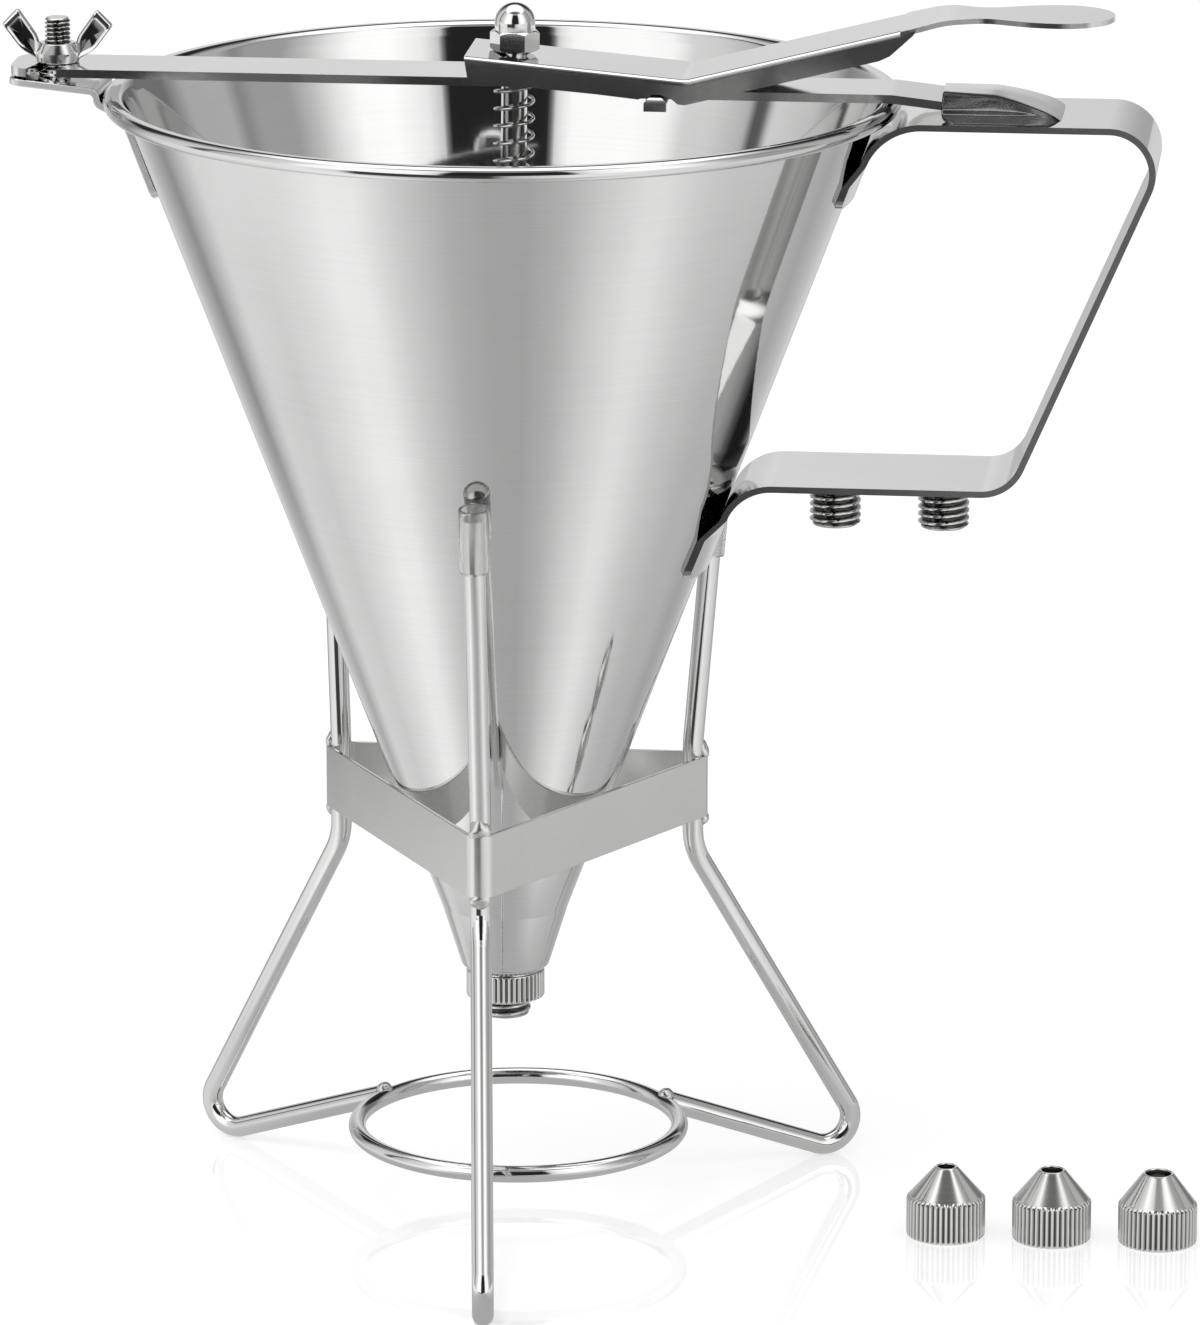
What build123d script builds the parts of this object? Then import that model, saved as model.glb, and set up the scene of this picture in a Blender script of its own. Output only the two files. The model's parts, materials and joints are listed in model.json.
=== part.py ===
from build123d import *
from math import acos, atan2, cos, degrees, hypot, pi, radians, sin, sqrt, tan
import os

# A hand-held batter dispenser resting in its wire stand. Millimetres, +Z up, +X towards the
# handle, origin on the funnel's axis at the level of the table.

# ---------------------------------------------------------------- driving dimensions
# Funnel
rim_radius = 92.5              # outside of the rolled rim
rim_height = 267.0             # centre of the roll above the table
rim_roll_radius = 1.75
rim_overhang = 4.3             # from the outside of the wall to the outside of the roll
cone_wall = 0.8
cone_shoulder_radius = 15.0    # outside, where the cone turns a little steeper
cone_shoulder_height = 73.0
cone_foot_radius = 10.4
cone_foot_height = 58.4
cone_floor_height = 57.0       # underside of the turned-in lower edge
weld_gap = 0.05                # left between pieces that are welded or brazed together

# Outlet
thread_radius = 6.0            # M12 x 1.5, on the outlet and on both storage studs
thread_clearance = 0.05
outlet_shank_step = 0.4        # of the plain shank, through the cone and collar, over the thread
outlet_bottom = 45.8
outlet_bore_radius = 4.2
outlet_flange_width = 1.8      # past the shank
outlet_flange_height = 2.7
collar_radius = 9.3
collar_height = 6.6
valve_seat_depth = 1.6
valve_seat_clearance = 0.05

# Handle
handle_width = 36.0
handle_thickness = 1.5
handle_drop = 1.0              # of the upper run's top face below the centre of the roll
handle_depth = 85.7            # between the top faces of the upper and the lower run
handle_reach = 63.8            # from the rim to where the upper run and the grip would meet
handle_rake = 23.4             # lean of the grip, degrees from vertical
upper_leg = 20.4               # length of the leg on the cone below each run, measured upright
lower_leg = 23.0
neck_bend = 14.3               # centre-line radii of the four bends, from the top
grip_bend = 10.0
heel_bend = 12.0
leg_settle = 5.0               # height over which a flat leg curves to the cone
storage_shift = 2.8            # of the pair of studs from the middle of the lower run
storage_pitch = 25.3
storage_length = 11.3

# Left bracket with its stud
bracket_width = 20.0
bracket_thickness = 1.65
bracket_reach = 21.8           # from the rim to the outer end of the tab
bracket_rise = 4.1             # top of the tab's outer end above the centre of the roll
bracket_tab_drop = 2.1
bracket_shoulder = 4.7         # where it meets the cone, below the centre of the roll
bracket_leg = 23.9             # its lower end, below the centre of the roll
stud_radius = 3.0              # M6, on the bracket stud and on the valve rod
stud_offset = 11.55            # from the rim to the stud's axis
stud_length = 10.5             # above the crossbar
stud_flange_radius = 4.5

# Crossbar
bar_width = 19.3
bar_thickness = 2.0
bar_lift = 2.3                 # of the top face above the bracket's tab
bar_step_start = 6.0
bar_step_drop = 2.2            # ends bar_step_gap before the ears
bar_step_gap = 4.7
bar_tongue_slope = 6.5         # degrees, down into the socket
bar_tongue_length = 24.0
bar_hook_clearance = 0.45      # each side of the stud in the slot
bar_hook_slant = 14.0          # degrees
rod_clearance = 0.1
fulcrum = 36.7                 # from the funnel's axis to the ears
ear_width = 5.2
ear_crown = 3.0
ear_stand_out = 1.9            # of the ears past the lever's sides
ear_down = 3.4

# Socket for the bar's tongue, on the handle's upper run
socket_start = 9.8             # from the rim to the mouth
socket_flat = 12.7
socket_length = 28.7
socket_height = 5.3
socket_wall = 0.9
socket_base = 32.0             # width of its flared foot on the strip
socket_clearance = 0.95        # at each side of the tongue

# Lever
lever_sheet = 1.2
lever_side_gap = 1.65          # between the flanges and the crossbar
lever_tail = -10.4             # left end
lever_bend_out = 6.7           # of the bend from the ears
lever_bend_rise = 0.7          # of the bend's top face above the crossbar
lever_tail_slope = 5.14        # degrees
lever_arm_slope = 14.0
lever_rest_start = 10.3        # of the level thumb rest from the rim
lever_rest_length = 38.5
lever_neck = 9.2               # of the narrowest place from the start of the rest
lever_neck_width = 14.6
lever_tail_depth = 5.0
lever_arm_depth = 5.7
lever_flange_gap = 14.8        # from the end of the flanges to the start of the rest
lever_edge_radius = 1.4
notch_drop = 0.45              # of the notches' top below the low part of the crossbar
notch_radius = 6.8
notch_clearance = 0.25

# Valve, on a rod that leans a little towards the handle
rod_offset = 2.7               # of the rod from the funnel's axis, where it passes the crossbar
seat_touch = 5.0               # radius at which the plug's ball meets its seat
spring_radius = 4.85           # outside of the coil
spring_wire = 0.8
spring_pitch = 4.1
spring_length = 32.2           # from the crossbar's top face to the collar that carries it
spring_end_gap = 0.15
spring_collar_radius = 5.2
spring_collar_height = 2.0
plug_radius = 6.2
nut_across_flats = 10.0
nut_face_radius = 4.85         # of its flat underside
nut_gap = 0.07                 # above the lever
nut_hex_height = 4.8
nut_height = 11.2
nut_dome_radius = 4.7

# Wing nut
wing_hub_radius = 5.05
wing_hub_height = 4.6
wing_thickness = 2.2

# Stand
leg_wire_radius = 2.5
leg_azimuths = {"front": -90.0, "right": 30.0, "left": 150.0}
leg_rises = {"front": 79.7, "right": 64.0, "left": 53.5}   # of the sleeves above the band
foot_azimuths = {"front": -86.4, "right": 28.6, "left": 151.5}
foot_reaches = {"front": 51.4, "right": 41.3, "left": 38.8}   # beyond the leg in the band
sleeve_length = 15.5
sleeve_overlap = 2.5           # of the sleeve past the end of the wire
sleeve_wall = 0.85
sleeve_clearance = 0.1         # between the tube and its wire
leg_bend_rise = 3.0            # of each leg's upper bend above the band
knee_height = 81.1
foot_bend = 6.5
base_ring_inset = 10.4         # of the ring's centre line inside the legs in the band
base_ring_shift = 3.0          # of the ring towards the handle
base_ring_wire = 2.0
base_ring_height = 18.0
band_top = 104.0
band_height = 15.0
band_thickness = 1.0
cradle_clearance = 0.3

# Nozzles, standing beside the stand
nozzle_orifices = {"small": 2.0, "medium": 2.5, "large": 3.0}
nozzle_radius = 9.3
nozzle_height = 16.8
nozzle_knurl_height = 9.2
nozzle_thread_depth = 9.0
nozzle_lip = 0.6
nozzle_first = (106.5, -18.0)
nozzle_pitch = 24.95

# ---------------------------------------------------------------- worked-out values
outlet_shank_radius = thread_radius + outlet_shank_step
outlet_flange_radius = outlet_shank_radius + outlet_flange_width
lever_width = bar_width + 2 * (lever_sheet + lever_side_gap)
sleeve_radius = leg_wire_radius + sleeve_clearance + sleeve_wall
cone_top_radius = rim_radius - rim_overhang
cone_slope = (cone_top_radius - cone_shoulder_radius) / (rim_height - cone_shoulder_height)
cone_angle = atan2(cone_slope, 1)
rim_top = rim_height + rim_roll_radius
roll_centre = rim_radius - rim_roll_radius
handle_top_face = rim_height - handle_drop
handle_bottom_face = handle_top_face - handle_depth
mid_top = handle_top_face - handle_thickness / 2
mid_bottom = handle_bottom_face - handle_thickness / 2
bracket_tab_height = rim_height + bracket_rise
bar_top = bracket_tab_height + bar_lift
bar_mid = bar_top - bar_thickness / 2
bar_low = bar_top - bar_step_drop
low_mid = bar_low - bar_thickness / 2
bar_underside = bar_top - bar_thickness
collar_bottom = cone_floor_height - weld_gap - collar_height
stud_x = -(rim_radius + stud_offset)

flange_bottom = cone_floor_height + cone_wall
flange_top = flange_bottom + outlet_flange_height
seat_radius = outlet_bore_radius + valve_seat_depth
ball_centre = flange_top - seat_radius + 2 * seat_touch
rod_lean = atan2(rod_offset, bar_mid - ball_centre)

lever_bend_x = fulcrum + lever_bend_out
lever_bend_top = bar_top + lever_bend_rise
tail_rise = tan(radians(lever_tail_slope))
arm_rise = tan(radians(lever_arm_slope))
nut_bottom = (
    lever_bend_top
    + (lever_bend_x - rod_offset + nut_face_radius) * tail_rise
    - nut_face_radius * sin(rod_lean)
    + nut_gap
)


def cone_radius(z):
    """Outside radius of the cone's wall at a height."""
    return cone_shoulder_radius + cone_slope * (z - cone_shoulder_height)


leg_circle = 2 * (cone_radius(band_top) + cradle_clearance - leg_wire_radius - weld_gap)
leg_bend_height = band_top + leg_bend_rise
base_ring_radius = leg_circle - base_ring_inset


def leaned(part):
    """A finished piece of the valve, leaned with the rod about the plug's ball."""
    return part.rotate(Axis((0, 0, ball_centre), (0, 1, 0)), degrees(rod_lean))


def hugging(z, thickness):
    """Centre-line radius of a strip that lies against the cone at a height."""
    return cone_radius(z) + (weld_gap + thickness / 2) / cos(cone_angle)


def upright_plane(azimuth, through=(0, 0)):
    """A vertical plane through a point: its x runs outwards, its y runs up."""
    a = radians(azimuth)
    return Plane(
        origin=(through[0], through[1], 0), x_dir=(cos(a), sin(a), 0), z_dir=(sin(a), -cos(a), 0)
    )


def touch_angle(centre, point, radius, side):
    """Angle of the normal where a line from a point touches a circle."""
    dx, dz = point[0] - centre[0], point[1] - centre[1]
    return atan2(dz, dx) + side * acos(radius / hypot(dx, dz))


os.makedirs("parts", exist_ok=True)


# ---------------------------------------------------------------- funnel
with BuildPart() as funnel_cone:
    inner_top = cone_radius(rim_height) - cone_wall
    with BuildSketch(Plane.XZ):
        with BuildLine():
            Polyline(
                (outlet_shank_radius + weld_gap, cone_floor_height),
                (cone_foot_radius - 1.5, cone_floor_height),
                (cone_foot_radius, cone_foot_height),
                (cone_shoulder_radius, cone_shoulder_height),
                (cone_radius(rim_height), rim_height),
                (roll_centre, rim_height),
                (roll_centre, rim_top),
                (inner_top + 1.2, rim_top),
                (inner_top, rim_top - 1.2),
                (cone_shoulder_radius - cone_wall, cone_shoulder_height),
                (cone_foot_radius - cone_wall, cone_foot_height),
                (cone_foot_radius - 1.5 - cone_wall / 2, cone_floor_height + cone_wall),
                (outlet_shank_radius + weld_gap, cone_floor_height + cone_wall),
                close=True,
            )
        make_face()
        with Locations((roll_centre, rim_height)):
            Circle(rim_roll_radius)
    revolve(axis=Axis.Z)

with BuildPart() as outlet_spout:
    with BuildSketch(Plane.XZ):
        with BuildLine():
            Polyline(
                (outlet_bore_radius, outlet_bottom),
                (thread_radius - 0.6, outlet_bottom),
                (thread_radius, outlet_bottom + 0.6),
                (thread_radius, collar_bottom),
                (outlet_shank_radius, collar_bottom),
                (outlet_shank_radius, flange_bottom),
                (outlet_flange_radius, flange_bottom),
                (outlet_flange_radius, flange_top - 0.5),
                (outlet_flange_radius - 0.5, flange_top),
                (seat_radius, flange_top),
                (outlet_bore_radius, flange_top - valve_seat_depth),
                close=True,
            )
        make_face()
    revolve(axis=Axis.Z)

with BuildPart() as knurled_collar:
    with BuildSketch(Plane.XY.offset(cone_floor_height - weld_gap)):
        Circle(collar_radius)
        Circle(outlet_shank_radius + thread_clearance, mode=Mode.SUBTRACT)
    extrude(amount=-collar_height)
    rims = knurled_collar.edges().filter_by(GeomType.CIRCLE).group_by(SortBy.RADIUS)[-1]
    chamfer(rims, length=0.5)


# ---------------------------------------------------------------- handle
grip_top = rim_radius + handle_reach
grip_bottom = grip_top - handle_depth * tan(radians(handle_rake))
leg_turn = pi / 2 - cone_angle
upper_leg_top = mid_top - neck_bend * tan(leg_turn / 2) * cos(cone_angle)
lower_leg_top = mid_bottom - heel_bend * tan(leg_turn / 2) * cos(cone_angle)
storage_first = (hugging(mid_bottom, handle_thickness) + grip_bottom - storage_pitch) / 2
storage_first += storage_shift


def leg_section(z, curved):
    """Level section of one of the strip's legs, straight across or curved to the cone."""
    half = handle_width / 2
    near = cone_radius(z) + weld_gap / cos(cone_angle)
    far = near + handle_thickness / cos(cone_angle)
    near_side = sqrt(near**2 - half**2) if curved else near
    far_side = sqrt(far**2 - half**2) if curved else far
    with BuildSketch(Plane.XY.offset(z)) as section:
        with BuildLine():
            if curved:
                ThreePointArc((near_side, -half), (near, 0), (near_side, half))
                ThreePointArc((far_side, -half), (far, 0), (far_side, half))
            else:
                Line((near, -half), (near, half))
                Line((far, -half), (far, half))
            Line((near_side, half), (far_side, half))
            Line((near_side, -half), (far_side, -half))
        make_face()
    return section.sketch


def handle_leg(top, end):
    """A leg of the strip from the end of its bend down to its own end."""
    with BuildPart() as leg:
        loft(
            [leg_section(top, False), leg_section(top - leg_settle, True), leg_section(end, True)],
            ruled=True,
        )
        corners = leg.edges().group_by(Axis.Z)[0].filter_by(Axis.X)
        fillet(corners, radius=2.5)
    return leg.part


with BuildPart() as handle_strip:
    with BuildSketch(Plane.XZ):
        with BuildLine():
            FilletPolyline(
                (hugging(upper_leg_top - 2, handle_thickness), upper_leg_top - 2),
                (hugging(mid_top, handle_thickness), mid_top),
                (grip_top, mid_top),
                (grip_bottom, mid_bottom),
                (hugging(mid_bottom, handle_thickness), mid_bottom),
                (hugging(lower_leg_top - 2, handle_thickness), lower_leg_top - 2),
                radius=[neck_bend, grip_bend, grip_bend, heel_bend],
            )
        trace(line_width=handle_thickness)
        for leg_top in (upper_leg_top, lower_leg_top):
            with Locations((cone_radius(leg_top), leg_top)):
                Rectangle(20, 6, align=(Align.CENTER, Align.MAX), mode=Mode.SUBTRACT)
    extrude(amount=handle_width / 2, both=True)
    add(handle_leg(upper_leg_top, handle_top_face - upper_leg))
    add(handle_leg(lower_leg_top, handle_bottom_face - lower_leg))


def storage_stud(x):
    """A threaded stud under the handle's lower run, with a chamfered end."""
    with BuildPart() as stud:
        with BuildSketch(Plane.XY.offset(handle_bottom_face - handle_thickness)):
            with Locations((x, 0)):
                Circle(thread_radius)
        extrude(amount=-storage_length)
        chamfer(stud.edges().group_by(Axis.Z)[0], length=0.7)
    return stud


storage_stud_inner = storage_stud(storage_first)
storage_stud_outer = storage_stud(storage_first + storage_pitch)


# ---------------------------------------------------------------- socket on the handle
mouth_x = rim_radius + socket_start
flat_x = mouth_x + socket_flat
tail_x = mouth_x + socket_length
socket_foot = handle_top_face + weld_gap


def socket_section(x, foot, waist, shoulder, top, height):
    """Half widths of the hood at its foot, waist, shoulder and flat top, and its height."""
    outline = [(foot, 0), (waist, 0.42 * height), (shoulder, 0.83 * height), (top, height)]
    outline += [(-y, z) for y, z in reversed(outline)]
    with BuildSketch(Plane(origin=(x, 0, socket_foot), x_dir=(0, 1, 0), z_dir=(1, 0, 0))) as s:
        Polygon(*outline, align=None)
    return s.sketch


with BuildPart() as bar_socket:
    foot = socket_base / 2
    inner_foot = foot - 1.4
    bore = bar_width / 2 + socket_clearance
    side = bore + socket_wall
    inside = socket_height - socket_wall
    loft(
        [
            socket_section(mouth_x, foot, side + 0.6, side, side - 3.5, socket_height),
            socket_section(flat_x, foot, side + 0.6, side, side - 3.7, socket_height - 0.1),
            socket_section(tail_x, foot - 1.0, 9.0, 6.5, 3.0, 0.5),
        ],
        ruled=True,
    )
    loft(
        [
            socket_section(mouth_x - 1, inner_foot, bore + 0.6, bore + 0.1, bore - 3.2, inside),
            socket_section(flat_x, inner_foot, bore + 0.6, bore, bore - 3.4, inside - 0.1),
            socket_section(tail_x - 3.5, foot - 2.4, 8.4, 6.0, 2.8, 0.3),
        ],
        ruled=True,
        mode=Mode.SUBTRACT,
    )


# ---------------------------------------------------------------- left bracket
tab_end = rim_radius + bracket_reach
tab_mid = bracket_tab_height - bracket_thickness / 2
tab_root = rim_radius + 1.4
bracket_weld_top = rim_height - bracket_shoulder
bracket_weld_end = rim_height - bracket_leg

with BuildPart() as bar_bracket:
    with BuildSketch(Plane.XZ):
        with BuildLine():
            FilletPolyline(
                (-tab_end, tab_mid),
                (-tab_root, tab_mid - bracket_tab_drop),
                (-tab_root + 0.5, rim_height - rim_roll_radius),
                (-hugging(bracket_weld_top, bracket_thickness), bracket_weld_top),
                (-hugging(bracket_weld_end, bracket_thickness), bracket_weld_end),
                radius=[1.8, 1.8, 3.0],
            )
        trace(line_width=bracket_thickness)
    extrude(amount=bracket_width / 2, both=True)
    corners = bar_bracket.edges().filter_by(GeomType.LINE).filter_by(
        lambda e: abs(e.length - bracket_thickness) < 0.01
    )
    fillet(corners, radius=3.0)
    with BuildSketch(Plane.XY.offset(bracket_weld_top)):
        with Locations((stud_x, 0)):
            Circle(stud_radius + thread_clearance)
    extrude(amount=bar_top - bracket_weld_top, mode=Mode.SUBTRACT)

with BuildPart() as bar_stud:
    tab_under_stud = tab_mid - bracket_tab_drop * (tab_end + stud_x) / (tab_end - tab_root)
    stud_bottom = tab_under_stud - bracket_thickness / 2
    flange_low = tab_under_stud + bracket_thickness / 2 + 0.55
    with BuildSketch(Plane.XY.offset(stud_bottom)):
        with Locations((stud_x, 0)):
            Circle(stud_radius)
    extrude(amount=bar_top + stud_length - stud_bottom)
    chamfer(bar_stud.edges().group_by(Axis.Z)[-1], length=0.5)
    with BuildSketch(Plane.XY.offset(flange_low)):
        with Locations((stud_x, 0)):
            Circle(stud_flange_radius)
    extrude(amount=bar_underside - 0.1 - flange_low)


# ---------------------------------------------------------------- crossbar
bar_left = -(rim_radius + bracket_reach)
bar_level_end = roll_centre
tongue_end = bar_level_end + bar_tongue_length * cos(radians(bar_tongue_slope))
tongue_drop = bar_tongue_length * sin(radians(bar_tongue_slope))
notch_top = bar_low - notch_drop
bar_hook_width = 2 * (stud_radius + bar_hook_clearance)
ear_out = lever_width / 2 + ear_stand_out

with BuildPart() as fulcrum_ears:
    ear_top = notch_top - notch_clearance
    with BuildSketch(Plane.YZ.offset(fulcrum)):
        with BuildLine():
            FilletPolyline(
                (0, ear_top - bar_thickness / 2),
                (ear_out - bar_thickness / 2, ear_top - bar_thickness / 2),
                (ear_out - bar_thickness / 2, ear_top - ear_down),
                radius=1.3,
            )
        trace(line_width=bar_thickness)
        mirror(about=Plane.YZ)
    extrude(amount=ear_width / 2, both=True)
    with BuildSketch(Plane.XZ):
        with Locations((fulcrum, ear_top - ear_crown)):
            Circle(ear_crown)
        with Locations((fulcrum, ear_top - 2 * ear_crown)):
            Rectangle(2 * ear_crown, 2 * ear_crown)
    extrude(amount=ear_out + 1, both=True, mode=Mode.INTERSECT)

with BuildPart() as crossbar:
    with BuildSketch(Plane.XZ):
        with BuildLine():
            FilletPolyline(
                (bar_left, bar_mid),
                (bar_step_start, bar_mid),
                (fulcrum - bar_step_gap, low_mid),
                (bar_level_end, low_mid),
                (tongue_end, low_mid - tongue_drop),
                radius=12.0,
            )
        trace(line_width=bar_thickness)
    extrude(amount=bar_width / 2, both=True)
    thin = crossbar.edges().filter_by(lambda e: abs(e.length - bar_thickness) < 0.01)
    fillet(thin.group_by(Axis.X)[0], radius=5.0)
    fillet(
        crossbar.edges()
        .filter_by(lambda e: abs(e.length - bar_thickness) < 0.01)
        .group_by(Axis.X)[-1],
        radius=3.0,
    )
    with BuildSketch(Plane.XY.offset(bar_top)):
        with Locations((rod_offset, 0)):
            Circle(stud_radius + rod_clearance)
        with Locations(Location((stud_x, 0, 0), (0, 0, -90 - bar_hook_slant))):
            Circle(bar_hook_width / 2)
            Rectangle(bar_width, bar_hook_width, align=(Align.MIN, Align.CENTER))
    extrude(amount=-bar_thickness - 1, mode=Mode.SUBTRACT)
    add(fulcrum_ears.part)


# ---------------------------------------------------------------- lever
tail_top = lever_bend_top + (lever_bend_x - lever_tail) * tail_rise
rest_corner = rim_radius + lever_rest_start
lever_rest_top = lever_bend_top + (rest_corner - lever_bend_x) * arm_rise
lever_flange_end = rest_corner - lever_flange_gap
lever_tip = rest_corner + lever_rest_length
shoulder = rest_corner - 6.0


def arm_top(x):
    """Height of the lever's top face on its rising arm."""
    return lever_bend_top + (x - lever_bend_x) * arm_rise


def channel_top(x):
    """Height of the lever's top face over its channel."""
    if x > lever_bend_x:
        return arm_top(x)
    return lever_bend_top + (lever_bend_x - x) * tail_rise


def channel_side(drop, top_gap):
    """Side view of the lever's channel, its top lowered by a gap."""
    with BuildSketch(Plane.XZ) as side:
        with BuildLine():
            FilletPolyline(
                (lever_tail, tail_top - top_gap),
                (lever_bend_x, lever_bend_top - top_gap),
                (shoulder, arm_top(shoulder) - top_gap),
                radius=6.0,
            )
            Polyline(
                (shoulder, arm_top(shoulder) - top_gap),
                (shoulder - 1.0, arm_top(shoulder) - lever_sheet - 0.6),
                (lever_flange_end + 2.5, arm_top(lever_flange_end) - lever_arm_depth + 1.2),
                (lever_flange_end, arm_top(lever_flange_end) - lever_arm_depth - drop),
                (lever_bend_x, lever_bend_top - lever_arm_depth - drop),
                (lever_tail + 0.8, tail_top - lever_tail_depth - drop),
                (lever_tail, tail_top - top_gap),
            )
        make_face()
    return side.sketch


with BuildPart() as thumb_rest:
    with BuildSketch(Plane.XZ):
        with BuildLine():
            FilletPolyline(
                (shoulder - 4.0, arm_top(shoulder - 4.0) - lever_sheet / 2),
                (rest_corner, lever_rest_top - lever_sheet / 2),
                (lever_tip, lever_rest_top - lever_sheet / 2),
                radius=22.0,
            )
        trace(line_width=lever_sheet)
    extrude(amount=lever_width / 2, both=True)
    with BuildSketch(Plane.XY.offset(lever_bend_top)):
        rest_radius = lever_width / 2 - 0.5
        with BuildLine():
            edge = Spline(
                (shoulder - 4.0, lever_width / 2),
                (rest_corner + lever_neck, lever_neck_width / 2),
                (lever_tip - rest_radius, rest_radius),
                tangents=[(1, 0), (1, 0)],
            )
            ThreePointArc(
                (lever_tip - rest_radius, rest_radius),
                (lever_tip, 0),
                (lever_tip - rest_radius, -rest_radius),
            )
            mirror(edge, about=Plane.XZ)
            Line((shoulder - 4.0, -lever_width / 2), (shoulder - 4.0, lever_width / 2))
        make_face()
    extrude(amount=lever_rest_top - lever_bend_top + 5, mode=Mode.INTERSECT)

with BuildPart() as lever:
    extrude(channel_side(0, 0), amount=lever_width / 2, both=True)
    top_edges = lever.edges().filter_by(
        lambda e: abs(abs(e.center().Y) - lever_width / 2) < 0.01
        and e.length > 1
        and e.center().Z > channel_top(e.center().X) - 0.5
    )
    fillet(top_edges, radius=lever_edge_radius)
    extrude(
        channel_side(3.0, lever_sheet),
        amount=lever_width / 2 - lever_sheet,
        both=True,
        mode=Mode.SUBTRACT,
    )
    add(thumb_rest.part)
    with BuildSketch(Plane.XZ):
        with Locations((fulcrum, notch_top - notch_radius)):
            Circle(notch_radius)
    extrude(amount=lever_width, both=True, mode=Mode.SUBTRACT)
    with BuildSketch(Plane.XY.offset(lever_bend_top)):
        with Locations((rod_offset - 0.5, 0)):
            SlotOverall(2 * stud_radius + 2.2, 2 * stud_radius + 0.4)
    extrude(amount=tail_top - lever_bend_top + 5, mode=Mode.SUBTRACT)


# ---------------------------------------------------------------- valve
ball_radius = seat_touch * sqrt(2) - valve_seat_clearance
rod_bottom = ball_centre - 2.4

with BuildPart() as valve_plug:
    with BuildSketch(Plane.XZ):
        brow = ball_centre - sqrt(ball_radius**2 - plug_radius**2)
        with BuildLine():
            RadiusArc((plug_radius, brow), (0, ball_centre - ball_radius), ball_radius)
            Polyline(
                (plug_radius, brow),
                (plug_radius, ball_centre + 1.5),
                (stud_radius + 1.2, ball_centre + 4.0),
                (stud_radius + thread_clearance, ball_centre + 4.0),
                (stud_radius + thread_clearance, rod_bottom - 0.1),
                (0, rod_bottom - 0.1),
                (0, ball_centre - ball_radius),
            )
        make_face()
    revolve(axis=Axis.Z)

with BuildPart() as valve_rod:
    rod_top = nut_bottom + 8.0
    with BuildSketch(Plane.XY.offset(rod_bottom)):
        Circle(stud_radius)
    extrude(amount=rod_top - rod_bottom)
    chamfer(valve_rod.edges().filter_by(GeomType.CIRCLE), length=0.4)

spring_seat = bar_top - spring_length

with BuildPart() as spring_collar:
    with BuildSketch(Plane.XY.offset(spring_seat)):
        Circle(spring_collar_radius)
        Circle(stud_radius + thread_clearance, mode=Mode.SUBTRACT)
    extrude(amount=-spring_collar_height)
    chamfer(
        spring_collar.edges().filter_by(GeomType.CIRCLE).group_by(SortBy.RADIUS)[-1], length=0.3
    )

with BuildPart() as spring:
    coil_bottom = spring_seat + spring_wire / 2 + spring_end_gap
    coil_top = bar_underside - spring_wire / 2 - spring_end_gap
    with BuildLine() as coil:
        Helix(
            pitch=spring_pitch,
            height=coil_top - coil_bottom,
            radius=spring_radius - spring_wire / 2,
            center=(0, 0, coil_bottom),
        )
    with BuildSketch(Plane(origin=coil.line @ 0, z_dir=coil.line % 0)):
        Circle(spring_wire / 2)
    sweep(path=coil.line, is_frenet=True)

with BuildPart() as acorn_nut:
    nut_corner = nut_across_flats / 2 / cos(radians(30))
    with BuildSketch(Plane.XY.offset(nut_bottom)):
        RegularPolygon(nut_across_flats / 2, 6, major_radius=False)
    extrude(amount=nut_hex_height)
    with BuildSketch(Plane.XZ):
        with BuildLine():
            Polyline(
                (0, nut_bottom),
                (nut_face_radius, nut_bottom),
                (nut_corner + 0.3, nut_bottom + 0.6),
                (nut_corner + 0.3, nut_bottom + nut_hex_height - 0.8),
                (nut_dome_radius + 0.1, nut_bottom + nut_hex_height),
                (0, nut_bottom + nut_hex_height),
                close=True,
            )
        make_face()
    revolve(axis=Axis.Z, mode=Mode.INTERSECT)
    dome_start = nut_bottom + nut_height - nut_dome_radius
    with BuildSketch(Plane.XZ):
        with BuildLine():
            Polyline(
                (0, nut_bottom + nut_hex_height - 1),
                (nut_dome_radius, nut_bottom + nut_hex_height - 1),
                (nut_dome_radius, dome_start),
            )
            RadiusArc(
                (nut_dome_radius, dome_start), (0, dome_start + nut_dome_radius), -nut_dome_radius
            )
            Line((0, dome_start + nut_dome_radius), (0, nut_bottom + nut_hex_height - 1))
        make_face()
    revolve(axis=Axis.Z)
    with BuildSketch(Plane.XY.offset(nut_bottom)):
        Circle(stud_radius + thread_clearance)
    extrude(amount=8.3, mode=Mode.SUBTRACT)


# ---------------------------------------------------------------- wing nut
with BuildPart() as wing_nut:
    hub_bottom = bar_top + 0.05
    hub_top = hub_bottom + wing_hub_height
    with BuildSketch(Plane.XZ):
        with BuildLine():
            FilletPolyline(
                (stud_x + 3.6, hub_bottom + 1.5),
                (stud_x + 7.6, hub_bottom + 3.6),
                (stud_x + 13.1, hub_bottom + 9.1),
                (stud_x + 9.6, hub_bottom + 12.6),
                (stud_x + 5.6, hub_bottom + 5.6),
                (stud_x + 3.6, hub_bottom + 4.2),
                close=True,
                radius=0.6,
            )
        make_face()
        mirror(about=Plane.YZ.offset(stud_x))
    extrude(amount=wing_thickness / 2, both=True)
    with BuildSketch(Plane.XZ):
        with BuildLine():
            Polyline(
                (stud_x, hub_bottom),
                (stud_x + wing_hub_radius, hub_bottom),
                (stud_x + wing_hub_radius, hub_bottom + 2.4),
                (stud_x + wing_hub_radius - 0.9, hub_top),
                (stud_x, hub_top),
                close=True,
            )
        make_face()
    revolve(axis=Axis((stud_x, 0, 0), (0, 0, 1)))
    with BuildSketch(Plane.XY.offset(hub_bottom)):
        with Locations((stud_x, 0)):
            Circle(stud_radius + thread_clearance)
    extrude(amount=wing_hub_height + 9, mode=Mode.SUBTRACT)


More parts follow.
